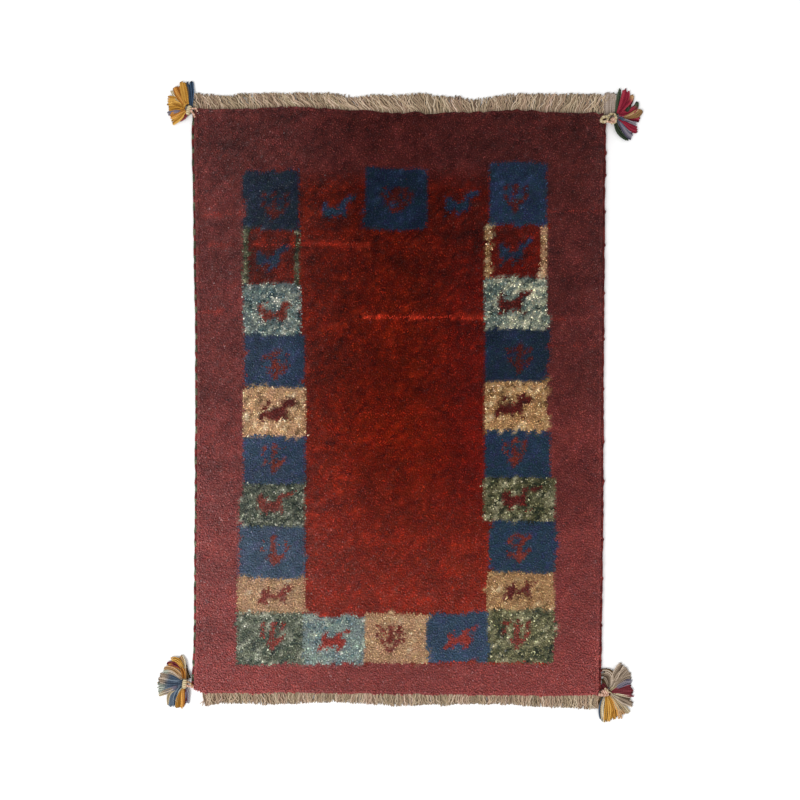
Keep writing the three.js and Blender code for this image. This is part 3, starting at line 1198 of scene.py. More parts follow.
    def with_figure(
        self, colour: Array, figure: Figure, wool: Array, middle: tuple[float, float]
    ) -> Array:
        """Knots one charted figure around a point.

        Args:
            colour: Colours so far.
            figure: The chart.
            wool: Every knot's colour if it is of the figure's wool.
            middle: The figure's centre in the plan.

        Returns:
            The colours with the figure in them.
        """
        if figure is Figure.NONE:
            return colour
        share = {"#": 1.0, "o": 0.5, ".": 0.0}
        chart = np.array([[share[letter] for letter in row] for row in figure.value])
        x, y = self.place[..., 0], self.place[..., 1]
        column = np.floor((x - middle[0]) / KNOT + chart.shape[1] / 2).astype(int)
        row = np.floor((middle[1] - y) / KNOT + chart.shape[0] / 2).astype(int)
        on_chart = (column >= 0) & (column < chart.shape[1]) & (row >= 0) & (row < chart.shape[0])
        chance = np.zeros(x.shape)
        chance[on_chart] = chart[row[on_chart], column[on_chart]]
        knotted = chance > self.random.uniform(0, 1, x.shape)
        return np.where(knotted[..., None], wool, colour)


@dataclass
class WovenGround:
    """The body under the pile's tips: packed pile on top and rolled sides, both painted darker as shade
    between the tips, and the knotted back.
    """

    plan: RugPlan
    cartoon: Cartoon
    columns: int = 86
    rows: int = 123
    inset: float = 1.2
    bed_depth: float = 3.0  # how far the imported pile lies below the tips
    # How much darker the top and the rolled sides are painted, as shade between the tufts
    painted_bed_shade: float = 0.6
    back_shade: float = 0.8
    # The rings from the top down: inset from the body's outline, and height
    rim: tuple[tuple[float, float], ...] = (
        (-0.4, 8.2),
        (-0.9, 7.0),
        (-0.6, 6.0),
        (0.3, 5.4),
        (0.3, 1.2),
    )
    back_inset: float = 0.7
    map_half: float = 0.49  # how much of the export's map the top fills, and the back

    def surface(self) -> Surface:
        """Works out the closed body: a top grid, the rim's rings and the grid of the back.

        Returns:
            The surface, with the back's vertices last.
        """
        u, v = np.meshgrid(np.linspace(0, 1, self.columns), np.linspace(0, 1, self.rows))
        top_plan = self.plan.place(u, v, self.inset)
        top_height = self.plan.tip_height(top_plan) - self.bed_depth
        top = np.concatenate([top_plan, top_height[..., None]], axis=-1).reshape(-1, 3)
        back_plan = self.plan.place(u, v, self.back_inset)
        back = np.concatenate([back_plan, np.zeros((*u.shape, 1))], axis=-1).reshape(-1, 3)
        column = np.round(u * (self.cartoon.columns - 1)).astype(int)
        row = np.round(v * (self.cartoon.rows - 1)).astype(int)
        # The knots' colours, with the painted sheen added
        colour = self.cartoon.colour + self.cartoon.painted_sheen[..., None]
        colour = colour[row, column].reshape(-1, 3)
        border = border_cells(self.rows, self.columns)
        rim_u, rim_v = u.ravel()[border], v.ravel()[border]
        rings = [
            np.column_stack([self.plan.place(rim_u, rim_v, inset), np.full(len(border), height)])
            for inset, height in self.rim
        ]
        count = self.rows * self.columns
        ring_start = [count + k * len(border) for k in range(len(rings))]
        back_start = count + len(rings) * len(border)
        ring_index = [border] + [start + np.arange(len(border)) for start in ring_start]
        ring_index.append(back_start + border)
        grid = np.arange(count).reshape(self.rows, self.columns)
        corners = [grid[:-1, :-1], grid[:-1, 1:], grid[1:, 1:], grid[1:, :-1]]
        cells = np.stack(corners, axis=-1).reshape(-1, 4)
        bands = [
            np.stack([upper, lower, np.roll(lower, -1), np.roll(upper, -1)], axis=-1)
            for upper, lower in zip(ring_index, ring_index[1:])
        ]
        rim_colours = [colour[border] * self.painted_bed_shade] * len(rings)
        return Surface(
            np.concatenate([top, *rings, back]) + self.plan.shift,
            [cells, back_start + cells[:, ::-1], *bands],
            np.concatenate([colour * self.painted_bed_shade, *rim_colours, colour * self.back_shade]),
        )

    def build(self) -> bpy.types.Object:
        """Builds the ground, with its top and its back side by side in the export's map.

        Returns:
            The new piece.
        """
        surface = self.surface()
        flat = surface.bake_map() * np.array([self.map_half, 1.0])
        back = np.zeros(len(flat), bool)
        back[-self.rows * self.columns :] = True
        flat[back, 0] = 1.0 - flat[back, 0]
        piece = build_piece("woven_ground", surface, flat)
        piece.data.materials.append(GROUND_WOOL.material())
        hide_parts("knotted_body")
        return piece


def border_cells(rows: int, columns: int) -> Array:
    """Lists a grid's indices round its border, anticlockwise from the bottom left.

    Args:
        rows: The grid's rows, from the bottom up.
        columns: Its columns, from left to right.

    Returns:
        The indices.
    """
    grid = np.arange(rows * columns).reshape(rows, columns)
    return np.concatenate([grid[0, :-1], grid[:-1, -1], grid[-1, :0:-1], grid[:0:-1, 0]])


@dataclass
class Pile:
    """The cut ends of the knots: two for each knot, leaning towards the foot of the rug."""

    plan: RugPlan
    cartoon: Cartoon
    length: float = 5.2
    width: float = 2.6
    lean: float = 2.2  # how far a tip lies towards the foot from its own root
    unrest: float = 0.7  # how far single tips stray
    height_unrest: float = 0.5  # how far their heights differ
    # How far neighbours stray together, across and along, over short and long stretches
    bunching: tuple[Unevenness, ...] = (Unevenness(7, 7, 0.8, 52), Unevenness(7, 7, 0.8, 53))
    sway: tuple[Unevenness, ...] = (Unevenness(30, 26, 0.5, 51), Unevenness(30, 26, 0.5, 54))
    cover: float = 0.8  # how much of its straying decides which knot a tip lies over
    tone_limits: tuple[float, float] = (0.4, 2.2)
    tint: tuple[float, float, float] = (0.0, 0.05, 0.05)  # how far the fibres' hues differ
    shared_sheen: float = 0.4  # share of the painted sheen that all tufts have alike
    kemp_colour: str = "#c9a58a"  # pale undyed hairs
    kemp_chance: float = 0.012  # how many of the tufts have some
    kemp_share: float = 0.11  # the most that one tuft has
    bands: int = 4
    # Rows of tips along the rim: degrees they lean outward, height, and reach past the edge
    rim_rows: tuple[tuple[float, float, float], ...] = (
        (30, 11.6, -0.6),
        (52, 10.4, 0.0),
        (74, 8.9, 0.4),
        (90, 7.4, 0.5),
    )
    # The rim's tips point away from this part of the rug: x from and to, y from and to
    rim_core: tuple[float, float, float, float] = (-290, 290, -418, 415)
    rim_length: float = 4.2
    rim_unrest: float = 0.5
    rim_height_unrest: float = 0.4
    rim_sway: float = 0.14
    rim_shades: tuple[float, float] = (0.75, 1.1)
    seed: int = 5

    def tips(self) -> Surface:
        """Works out all tips, each in the wool of the knot that it comes to lie over.

        Returns:
            The tufts, in the order of the knots.
        """
        random = np.random.default_rng(self.seed)
        pair = np.repeat(self.cartoon.place.reshape(-1, 2), 2, axis=0)
        count = len(pair)
        within = random.uniform(-0.5, 0.5, (count, 2)) * np.array([0.5, 1.0])
        within[:, 0] += np.tile([-0.25, 0.25], count // 2)
        x, y = pair[:, 0], pair[:, 1]
        stray = [bunch.at(x, y) + sway.at(x, y) for bunch, sway in zip(self.bunching, self.sway)]
        stray = np.column_stack(stray) + random.normal(0, self.unrest, (count, 2))
        root = pair + within * KNOT + np.array([0, self.lean * 0.5])
        height = self.plan.tip_height(pair) + random.normal(0, self.height_unrest, count)
        foot = np.column_stack([root, height - self.length])
        top = np.column_stack([root + stray - np.array([0, self.lean]), height])
        colour, fibrous, painted_sheen = self.cartoon.under(within + stray / KNOT * self.cover)
        tone = np.clip(np.exp(fibrous * random.normal(0, 1, count)), *self.tone_limits)
        tint = np.exp(random.normal(0, 1, (count, 3)) * np.array(self.tint))
        # Painted sheen on each tuft, with scattered painted glints, added to its colour
        loose = self.cartoon.sheen_kind.loose
        own_sheen = self.shared_sheen + (1 - self.shared_sheen) * random.exponential(1, count)
        pale = (painted_sheen - loose) * own_sheen + loose * random.exponential(1, count)
        colour = self.with_kemp(colour * tone[:, None] * tint + pale[:, None], random)
        width = self.width * random.uniform(0.75, 1.25, count)
        return tufts(foot + self.plan.shift, top + self.plan.shift, width, colour, random)

    def with_kemp(self, colour: Array, random: np.random.Generator) -> Array:
        """Mixes pale undyed hairs into a few of the tufts.

        Args:
            colour: The tufts' linear colours.
            random: Picks the tufts.

        Returns:
            Their colours with the hairs in them.
        """
        kemp = linear_colour(self.kemp_colour)
        some = random.uniform(0, 1, len(colour)) < self.kemp_chance
        amount = some * self.kemp_share * random.uniform(0.2, 1, len(colour))
        return colour + (kemp - colour) * amount[:, None]

    def rim_tips(self) -> Surface:
        """Works out the tips that hang over the edges, in rows fanned from up to outward.

        Returns:
            The tufts of all the rows.
        """
        random = np.random.default_rng(self.seed + 1)
        border = border_cells(self.cartoon.rows, self.cartoon.columns)
        edge = self.cartoon.place.reshape(-1, 2)[border]
        left, right, foot, head = self.rim_core
        inner = np.stack([np.clip(edge[:, 0], left, right), np.clip(edge[:, 1], foot, head)], axis=-1)
        outward = unit(edge - inner)
        # The knots' colours, with the painted sheen added
        colour = (self.cartoon.colour + self.cartoon.painted_sheen[..., None]).reshape(-1, 3)[border]
        rows = [(*row, half) for row in self.rim_rows for half in (0.0, 0.5)]
        parts = []
        for degrees, height, reach, half in rows:
            spot = edge * (1 - half) + np.roll(edge, -1, axis=0) * half
            spot = spot + outward * reach + random.normal(0, self.rim_unrest, edge.shape)
            angle = math.radians(degrees)
            upward = np.full(len(edge), math.cos(angle))
            way = np.column_stack([outward * math.sin(angle), upward])
            way = way + random.normal(0, self.rim_sway, way.shape)
            tip_height = height + random.normal(0, self.rim_height_unrest, len(edge))
            top = np.column_stack([spot, tip_height]) + self.plan.shift
            width = self.width * random.uniform(0.8, 1.2, len(edge))
            shaded = colour * random.uniform(*self.rim_shades, (len(edge), 1))
            parts.append(tufts(top - way * self.rim_length, top, width, shaded, random))
        return Surface.joined(parts)

    def build(self) -> list[bpy.types.Object]:
        """Builds the pile in bands across the rug, and the tips along its rim.

        Returns:
            The pieces, from the foot up, then the rim.
        """
        material = PILE_WOOL.material()
        whole = self.tips()
        count = len(whole.vertices) // TUFT_POINTS
        limits = [band * count // self.bands for band in range(self.bands + 1)]
        parts = {}
        for band, (first, last) in enumerate(zip(limits, limits[1:]), start=1):
            points = slice(first * TUFT_POINTS, last * TUFT_POINTS)
            faces = whole.faces[0][first * TUFT_FACES : last * TUFT_FACES] - points.start
            parts[f"pile_band_{band}"] = Surface(whole.vertices[points], [faces], whole.colours[points])
        parts["pile_rim"] = self.rim_tips()
        pieces = [build_piece(name, part) for name, part in parts.items()]
        for piece in pieces:
            piece.data.materials.append(material)
        return pieces


@dataclass
class SideCord:
    """A side cord: wool wound tightly over the edge warps, each turn a low ridge."""

    plan: RugPlan
    side: Side
    node: str
    bottom: float
    top: float
    dyes: tuple[tuple[str, ...], ...]
    stripe: float  # length of cord wound with one wool, in millimetres
    knobs: tuple[float, ...] = ()  # where a wool's end sticks out, along Y
    knob_size: tuple[float, float] = (1.3, 1.6)  # how far it sticks out, and half its width
    wrap: float = 2.3  # one turn of the wool along the cord
    ridge: float = 0.4
    # The grooves between the turns are painted darker, as shade
    painted_groove_shade: float = 0.6
    bend: Unevenness = Unevenness(8, 8, 0.6, 62)
    shading: Unevenness = Unevenness(5, 5, 0.5, 61)
    head_painted_light: float = 0.9  # painted light: how light the wool is at the head
    foot_painted_light: float = 0.7  # and how much lighter it is painted at the foot
    sides: int = 8
    steps_per_wrap: int = 4

    def surface(self) -> Surface:
        """Works out the cord: its radius swells once for each turn, along a slant, and the grooves are
        painted darker as shade.

        Returns:
            The cord's surface.
        """
        turns = int((self.top - self.bottom) / self.wrap)
        steps = turns * self.steps_per_wrap + 1
        y = np.linspace(self.bottom, self.top, steps)
        radius = self.plan.cord_diameter / 2
        out = self.bend.on_line(y, self.side.value)
        for knob in self.knobs:
            out = out + self.knob_size[0] * np.exp(-(((y - knob) / self.knob_size[1]) ** 2))
        x = self.plan.side(self.side, y) - self.side.value * (radius - out)
        path = np.column_stack([x, y, np.full(steps, radius)]) + self.plan.shift
        girth = np.full((1, steps), radius)
        surface = yarn_tubes(path[None], girth, self.stripe_colours(y)[None], self.sides)
        around, along = surface.yarn[:, 0], surface.yarn[:, 1]
        swell = np.abs(np.sin(math.pi * (along / self.wrap + 0.5 * around)))
        middle = np.interp(surface.vertices[:, 1], path[:, 1], path[:, 0])
        centre = np.column_stack([middle, surface.vertices[:, 1], np.full(len(middle), radius)])
        spoke = surface.vertices - centre
        surface.vertices = centre + spoke * (1 - self.ridge / radius * (1 - swell))[:, None]
        shade = self.painted_groove_shade + (1 - self.painted_groove_shade) * swell
        surface.colours = surface.colours * shade[:, None]
        return surface

    def stripe_colours(self, y: Array) -> Array:
        """Colours the cord: the wools take turns, each stripe of uneven length.

        Args:
            y: Places along the cord.

        Returns:
            A linear colour for each.
        """
        random = np.random.default_rng(int(abs(self.bottom)))
        most_stripes = 200
        lengths = random.uniform(0.75, 1.25, most_stripes) * self.stripe
        starts = self.bottom + np.cumsum(lengths)
        stripe = np.searchsorted(starts, y)
        shade = np.clip(0.5 + self.shading.on_line(y), 0, 1)
        colours = np.stack([wool_colour(dye, shade) for dye in self.dyes])
        # Painted light: the cord is lighter towards the foot, as the pile is
        tone_and_painted_light = self.head_painted_light + self.foot_painted_light * share_down(y)
        return colours[stripe % len(self.dyes), np.arange(len(y))] * tone_and_painted_light[:, None]

    def build(self) -> bpy.types.Object:
        """Builds the cord.

        Returns:
            The new piece.
        """
        piece = build_piece(f"{self.node}_wrapped", self.surface())
        piece.data.materials.append(CORD_WOOL.material())
        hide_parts(self.node)
        return piece


@dataclass(frozen=True)
class FringeLayer:
    """One layer of a fringe's yarns; the sizes are shares of the fringe's own."""

    spacing: float = 1.0
    shortest: float = 0.86
    lean: float = 1.0
    curl: float = 1.0
    thickness: float = 1.0
    steps: int = 15
    sides: int = 4


# The yarns matted on the floor: crowded and thick, of even length and nearly straight
MATTED_LAYER = FringeLayer(0.55, 0.95, lean=0.5, curl=0.4, thickness=1.8, steps=9, sides=3)
LOOSE_LAYER = FringeLayer()


@dataclass
class WarpFringe:
    """Warp ends past the last row of knots, cut short and matted into uneven curls."""

    plan: RugPlan
    end: End
    node: str
    # Along the end, from left to right: x, y of the tips, lean for each mm of length
    tips: Array
    tangle: float  # how far single ends lean off the rest
    bundle: float  # width of the bundles that neighbours gather in
    seed: int
    layers: tuple[FringeLayer, ...] = (MATTED_LAYER, LOOSE_LAYER, LOOSE_LAYER)
    spacing: float = 2.0
    radius: float = 0.7
    root_depth: float = 6.5  # how far the ends start inside the pile
    root_height: float = 3.0  # and how high
    layer_height: float = 1.3  # how far each layer lies above the one below
    longest: float = 1.02  # single ends, as a share of the way to the tips
    middle_length: float = 1.02  # and those in a bundle's middle
    bundle_pull: float = 0.16  # how far a bundle's ends lean together and are shorter at its sides
    # How raggedly neighbours end, how the bundles wander, and how stretches of ends lean
    ragged: Unevenness = Unevenness(9, 9, 1.4, 71)
    wander: Unevenness = Unevenness(40, 40, 2.0, 75)
    swing: Unevenness = Unevenness(13, 13, 1.6, 72)
    curls: tuple[float, float] = (1.4, 2.9)  # least and most curls in one end
    curl_sizes: tuple[float, float] = (0.4, 1.5)
    even_curl: float = 0.3  # how wide the curls are without any tangle
    tangled_curl: float = 3.4  # and what the tangle adds
    tip_bend: float = 2.2  # how far the cut tips turn aside
    shades: tuple[str, ...] = ("#5b4f3c", "#96836a", "#b8a486", "#dccbae")
    rosy_shades: tuple[str, ...] = ("#6b5044", "#ab8876", "#cba792", "#f0d3c2")
    rosiness: Unevenness = Unevenness(11, 11, 0.3, 77)
    mean_rosiness: float = 0.3
    rosiness_spread: float = 0.18
    # Tone and painted shade of the lowest layer, and what each layer above it adds: the lower layers are
    # painted darker, as shade under the upper ones
    tone: float = 0.42
    tone_step: float = 0.11
    tone_spread: float = 0.16
    shade: float = 0.7
    painted_shade_step: float = 0.17

    def lines(
        self, index: int, kind: FringeLayer, random: np.random.Generator
    ) -> tuple[Array, Array]:
        """Works out a layer's lines: they start in the pile, curl, and sink to the floor.

        Args:
            index: Which layer, from the floor up.
            kind: What sort of layer.
            random: The source of unevenness.

        Returns:
            Where each yarn starts along the end, and its points, shaped yarns by steps by 3.
        """
        outward = self.end.value
        places, tip_places, leans = self.tips.T
        count = int((places[-1] - places[0]) / (self.spacing * kind.spacing))
        x = np.linspace(places[0], places[-1], count) + random.normal(0, 0.5, count)
        root = self.plan.end(self.end, x) - outward * self.root_depth
        tip = eased_between(places, tip_places, x) + self.ragged.on_line(x)
        off_bundle = ((x + self.wander.on_line(x)) / self.bundle) % 1 - 0.5
        length = np.abs(tip - root) * random.uniform(kind.shortest, self.longest, count)
        length = length * (self.middle_length - self.bundle_pull * off_bundle**2)
        lean = eased_between(places, leans, x) * kind.lean
        lean = lean + self.tangle * self.swing.on_line(x, index)
        lean = lean + random.normal(0, self.tangle, count)
        lean = lean - self.bundle_pull * off_bundle * self.bundle / length
        share = np.linspace(0, 1, kind.steps)
        crimp = random.uniform(*self.curls, (count, 1)) * share * 2 * math.pi
        phase = random.uniform(0, 2 * math.pi, (count, 1))
        size = self.even_curl + self.tangle * self.tangled_curl
        size = random.uniform(*self.curl_sizes, (count, 1)) * size * kind.curl
        curl = size * (np.sin(crimp + phase) - np.sin(phase))
        lift = np.abs(np.cos(crimp + phase)) * size * 0.8
        along = length[:, None] * share
        shown = rise(share, 0.25, 0.3)
        bend = random.normal(0, self.tip_bend, (count, 1)) * rise(share, 0.72, 0.28)
        rest = 1.2 * self.radius * kind.thickness + self.layer_height * index
        height = self.root_height * (1 - rise(share, 0.15, 0.4)) + rest + lift * shown
        aside = lean[:, None] * along * (0.4 + 0.6 * shown) + curl * shown + bend
        out = along - 0.35 * np.abs(bend)
        return x, np.stack([x[:, None] + aside, root[:, None] + outward * out, height], axis=-1)

    def colours(
        self, index: int, x: Array, share: Array, random: np.random.Generator
    ) -> Array:
        """Colours a layer: greyish and rosy undyed yarns, painted darker towards the floor and the pile
        as shade.

        Args:
            index: Which layer, from the floor up.
            x: Where each yarn starts along the end.
            share: The yarns' steps, from 0 at the pile to 1 at the tips.
            random: The source of unevenness.

        Returns:
            Linear colours, shaped yarns by steps by 3.
        """
        count = len(x)
        tone = random.normal(self.tone + self.tone_step * index, self.tone_spread, (count, 1))
        tone = np.clip(tone + 0.1 * share, 0, 1)
        rosy = self.mean_rosiness + self.rosiness.on_line(x)
        rosy = np.clip(rosy + random.normal(0, self.rosiness_spread, count), 0, 1)[:, None, None]
        plain, warm = wool_colour(self.shades, tone), wool_colour(self.rosy_shades, tone)
        # Painted shade: darker near the roots, under the pile
        shade_under_pile = 0.75 + 0.25 * rise(share, 0.1, 0.25)
        shade = shade_under_pile * (self.shade + self.painted_shade_step * index)
        return (plain * (1 - rosy) + warm * rosy) * shade[:, None]

    def layer(self, index: int, kind: FringeLayer, random: np.random.Generator) -> Surface:
        """Works out one layer of yarns.

        Args:
            index: Which layer, from the floor up.
            kind: What sort of layer.
            random: The source of unevenness.

        Returns:
            The layer's yarns.
        """
        x, path = self.lines(index, kind, random)
        share = np.linspace(0, 1, kind.steps)
        girth = self.radius * kind.thickness * (1 - 0.25 * share**3)
        girth = girth * random.uniform(0.8, 1.2, (len(x), 1))
        colours = self.colours(index, x, share, random)
        return yarn_tubes(path + self.plan.shift, girth, colours, kind.sides)

    def build(self) -> bpy.types.Object:
        """Builds the fringe from its layers.

        Returns:
            The new piece.
        """
        random = np.random.default_rng(self.seed)
        layers = [self.layer(index, kind, random) for index, kind in enumerate(self.layers)]
        piece = build_piece(f"{self.node}_yarn", Surface.joined(layers))
        piece.data.materials.append(WARP_YARN.material())
        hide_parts(self.node)
        return piece


class Yarn(Enum):
    """A tassel yarn, by its hex shades from dark to light."""

    GOLD = ("#80511c", "#b98434", "#dba955")
    AMBER = ("#80491a", "#bc7d35", "#dba053")
    NAVY = ("#17202d", "#2a3b50", "#485d76")
    BROWN = ("#2b1e12", "#4a3825", "#6a5538")
    PALE = ("#8f7d62", "#baa888", "#dccfb2")
    LILAC = ("#4a4656", "#706a7a", "#9a949c")
    RED = ("#470e18", "#851f33", "#ab3a4a")
    PINE = ("#1d281f", "#323f2e", "#505b47")
    TAN = ("#7a5936", "#ad865a", "#d0a980")
    SLATE = ("#2e3847", "#4b596b", "#727f8d")
    WINE = ("#491c20", "#6e2a30", "#8b444b")
    GREIGE = ("#5a4a3c", "#948270", "#cbb8a4")
    CREAM = ("#8f7d58", "#bba883", "#dccdab")
    ROSE = ("#a07560", "#cb9e86", "#ecc6b2")
    FROST = ("#5f675e", "#8e9488", "#bcc0b2")
    FUZZ = ("#806f64", "#a69588", "#c4b5a9")


@dataclass(frozen=True)
class Lock:
    """A bundle of like yarns in a tassel, by three points along its middle line.

    The points and widths are in millimetres, the points measured from the tassel's seat.
    """

    yarn: Yarn
    yarns: int
    root: tuple[float, float]
    waist: tuple[float, float]
    end: tuple[float, float]
    widths: tuple[float, float, float]
    tip: Yarn | None = None
    looped: bool = False
    lift: float = 0.0


@dataclass(frozen=True)
class Binding:
    """A wound head or knot, from one point to another, measured from the tassel's seat."""

    yarn: Yarn
    start: tuple[float, float]
    stop: tuple[float, float]
    radius: float
    height: float
    wraps: int


@dataclass(frozen=True)
class Stitch:
    """A strand that arches from one point to another, measured from the tassel's seat."""

    yarn: Yarn
    points: tuple[tuple[float, float, float], ...]
    radius: float = 1.1


@dataclass
class CornerTassel:
    """A tassel: its bound head at the rug's corner, the strands that hold it, and its locks."""

    plan: RugPlan
    node: str
    side: Side
    y: float
    locks: tuple[Lock, ...]
    bindings: tuple[Binding, ...]
    stitches: tuple[Stitch, ...]
    seed: int
    head_radius: float = 6.0
    radius: float = 1.0
    steps: int = 14
    lengths: tuple[float, float] = (0.88, 1.03)  # shortest and longest yarn of a lock
    loop_start: float = 0.06  # where a looped yarn starts and ends along the lock
    loop_width: float = 0.36
    wave: float = 0.35  # how far single yarns wave off the lock's line
    root_height: float = 3.4  # how far a lock starts above its end
    lift_left: float = 0.7  # how much of a lock's lift is left at its end
    # Tone of the yarns on their ramp, and how far they differ
    tone: float = 0.55
    tone_spread: float = 0.34
    painted_under_shade: float = 0.5  # how dark the yarns that lie under the others are painted, as shade
    # How dark the yarns are painted at the root, as shade under the head
    painted_root_shade: float = 0.7

    def seat(self) -> Array:
        """The tassel's seat in the plan, against the side cord."""
        edge = self.plan.side(self.side, np.array([self.y]))[0]
        return np.array([edge + self.side.value * (self.plan.gap + self.head_radius), self.y])

    def lock_surface(self, lock: Lock, random: np.random.Generator) -> Surface:
        """Works out one lock: yarns side by side along a bent line, over a layer painted darker as shade.

        The line is root (1-t)² + 2 control t (1-t) + end t², which passes the waist half way.

        Args:
            lock: The lock's row.
            random: The source of unevenness.

        Returns:
            The lock's yarns.
        """
        count = 2 * lock.yarns - 1
        under = np.arange(count) % 2 == 1
        root, waist, end = np.array([lock.root, lock.waist, lock.end], float)
        control = 2 * waist - (root + end) / 2
        share = np.linspace(0, 1, self.steps)
        t = share * random.uniform(*self.lengths, (count, 1))
        place = np.linspace(-0.5, 0.5, count)[:, None] * np.ones(self.steps)
        if lock.looped:
            there_and_back = np.sin(share * math.pi) ** 0.75
            t = self.loop_start + (1 - self.loop_start) * there_and_back
            t = t * random.uniform(*self.lengths, (count, 1))
            place = place + self.loop_width / lock.yarns * np.cos(share * math.pi)
        width = np.interp(t, (0, 0.5, 1), lock.widths)
        wave = random.normal(0, self.wave, (count, 1))
        wave = wave * np.sin(share * 5 + random.uniform(0, 6, (count, 1)))
        fall = 1 - ease(t * 1.1)
        height = self.root_height * fall + lock.lift * (fall + self.lift_left * (1 - fall))
        height = self.radius + height + random.uniform(0.5, 1.5, (count, 1)) * ~under[:, None]
        t = t[..., None]
        line = root * (1 - t) ** 2 + 2 * control * t * (1 - t) + end * t**2
        heading = 2 * (control - root) * (1 - t) + 2 * (end - control) * t
        across = unit(np.stack([-heading[..., 1], heading[..., 0]], axis=-1))
        plan = self.seat() + line + across * (place * width + wave)[..., None]
        path = np.concatenate([plan, height[..., None]], axis=-1)
        girth = self.radius * random.uniform(0.85, 1.15, (count, 1))
        girth = girth * (0.85 + 0.15 * ease(share * 3))
        tone = random.normal(self.tone, self.tone_spread, (count, 1)) + 0.12 * share
        colours = wool_colour(lock.yarn.value, np.clip(tone, 0, 1))
        if lock.tip is not None:
            tips = wool_colour(lock.tip.value, np.clip(tone, 0, 1))
            colours += (tips - colours) * rise(t, 0.5, 0.35)
        # Painted shade: darker at the root and on the yarns that lie under the others
        shade = self.painted_root_shade + (1 - self.painted_root_shade) * ease(share * 4)
        shade = np.where(under, self.painted_under_shade, 1.0)[:, None] * shade
        return yarn_tubes(path + self.plan.shift, girth, colours * shade[..., None])

    def binding_surface(self, binding: Binding) -> Surface:
        """Works out a wound head: a barrel whose girth swells with every turn, painted darker between the
        turns as shade.

        Args:
            binding: The head's row.

        Returns:
            Its surface.
        """
        share = np.linspace(0, 1, 8 * binding.wraps + 1)
        barrel = np.sqrt(np.clip(1 - (2 * share - 1) ** 4 * 0.75, 0.05, 1))
        ring = np.abs(np.sin(share * math.pi * binding.wraps))
        radius = (binding.radius * barrel * (0.88 + 0.12 * ring))[None]
        start, stop = np.array(binding.start), np.array(binding.stop)
        plan = self.seat() + start + (stop - start) * share[:, None]
        path = np.column_stack([plan, np.full(len(share), binding.height)])[None]
        # The yarn is painted darker between the turns, as shade in the grooves
        colours = wool_colour(binding.yarn.value, 0.15 + 0.75 * ring[None])
        return yarn_tubes(path + self.plan.shift, radius, colours, sides=12)

    def stitch_surface(self, stitch: Stitch) -> Surface:
        """Works out a strand that passes smoothly through its points.

        Args:
            stitch: The strand's row.

        Returns:
            Its surface.
        """
        points = np.array(stitch.points)
        knots = np.arange(len(points))
        at = np.linspace(0, len(points) - 1, 6 * len(points))
        path = np.stack([eased_between(knots, points[:, c], at) for c in range(3)], axis=-1)
        path[:, :2] += self.seat()
        tone = 0.55 + 0.35 * np.sin(at * 7)
        colours = wool_colour(stitch.yarn.value, tone[None])
        girth = np.full((1, len(at)), stitch.radius)
        return yarn_tubes((path + self.plan.shift)[None], girth, colours)

    def build(self) -> bpy.types.Object:
        """Builds the tassel.

        Returns:
            The new piece.
        """
        random = np.random.default_rng(self.seed)
        parts = [self.lock_surface(lock, random) for lock in self.locks]
        parts += [self.binding_surface(binding) for binding in self.bindings]
        parts += [self.stitch_surface(stitch) for stitch in self.stitches]
        piece = build_piece(f"{self.node}_yarn", Surface.joined(parts))
        piece.data.materials.append(TASSEL_YARN.material())
        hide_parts(self.node)
        return piece


# The locks of each tassel: yarn, how many, root, waist, end, and widths there
TOP_LEFT_LOCKS = (
    Lock(Yarn.WINE, 4, (0, -3), (-5, -9), (-12, -13), (3, 5, 4)),
    Lock(Yarn.LILAC, 3, (-10, -1), (-21, -2), (-30, -3.5), (2, 3, 6)),
    Lock(Yarn.PALE, 3, (-4, 8), (-17, 20), (-24, 30), (2, 4, 3)),
    Lock(Yarn.NAVY, 6, (5, 6), (4.6, 25), (3.4, 43), (4, 8.5, 8), lift=0.5),
    Lock(Yarn.BROWN, 3, (1, 7), (-0.6, 28), (-3.4, 42.5), (2, 3.5, 3)),
    Lock(Yarn.GOLD, 4, (-2, 1), (-11, -8), (-23, -16.5), (4, 8, 7), looped=True),
    Lock(Yarn.AMBER, 4, (-2, 1.5), (-14, -3), (-26, -7.5), (4, 6, 7), looped=True, lift=0.6),
    Lock(Yarn.GOLD, 4, (-2, 4), (-16, 7.5), (-30.5, 5.5), (5, 9, 10), looped=True, lift=0.8),
    Lock(Yarn.GOLD, 4, (-2, 5), (-16, 14), (-29, 16.5), (5, 9, 9), looped=True, lift=1.2),
    Lock(Yarn.AMBER, 5, (-2, 7), (-12, 23), (-17.5, 35.5), (5, 9, 9), looped=True, lift=1.4),
    Lock(Yarn.GOLD, 5, (-0.5, 6.5), (-4.6, 26), (-8.5, 43.5), (5, 8.5, 6), looped=True, lift=1.6),
)
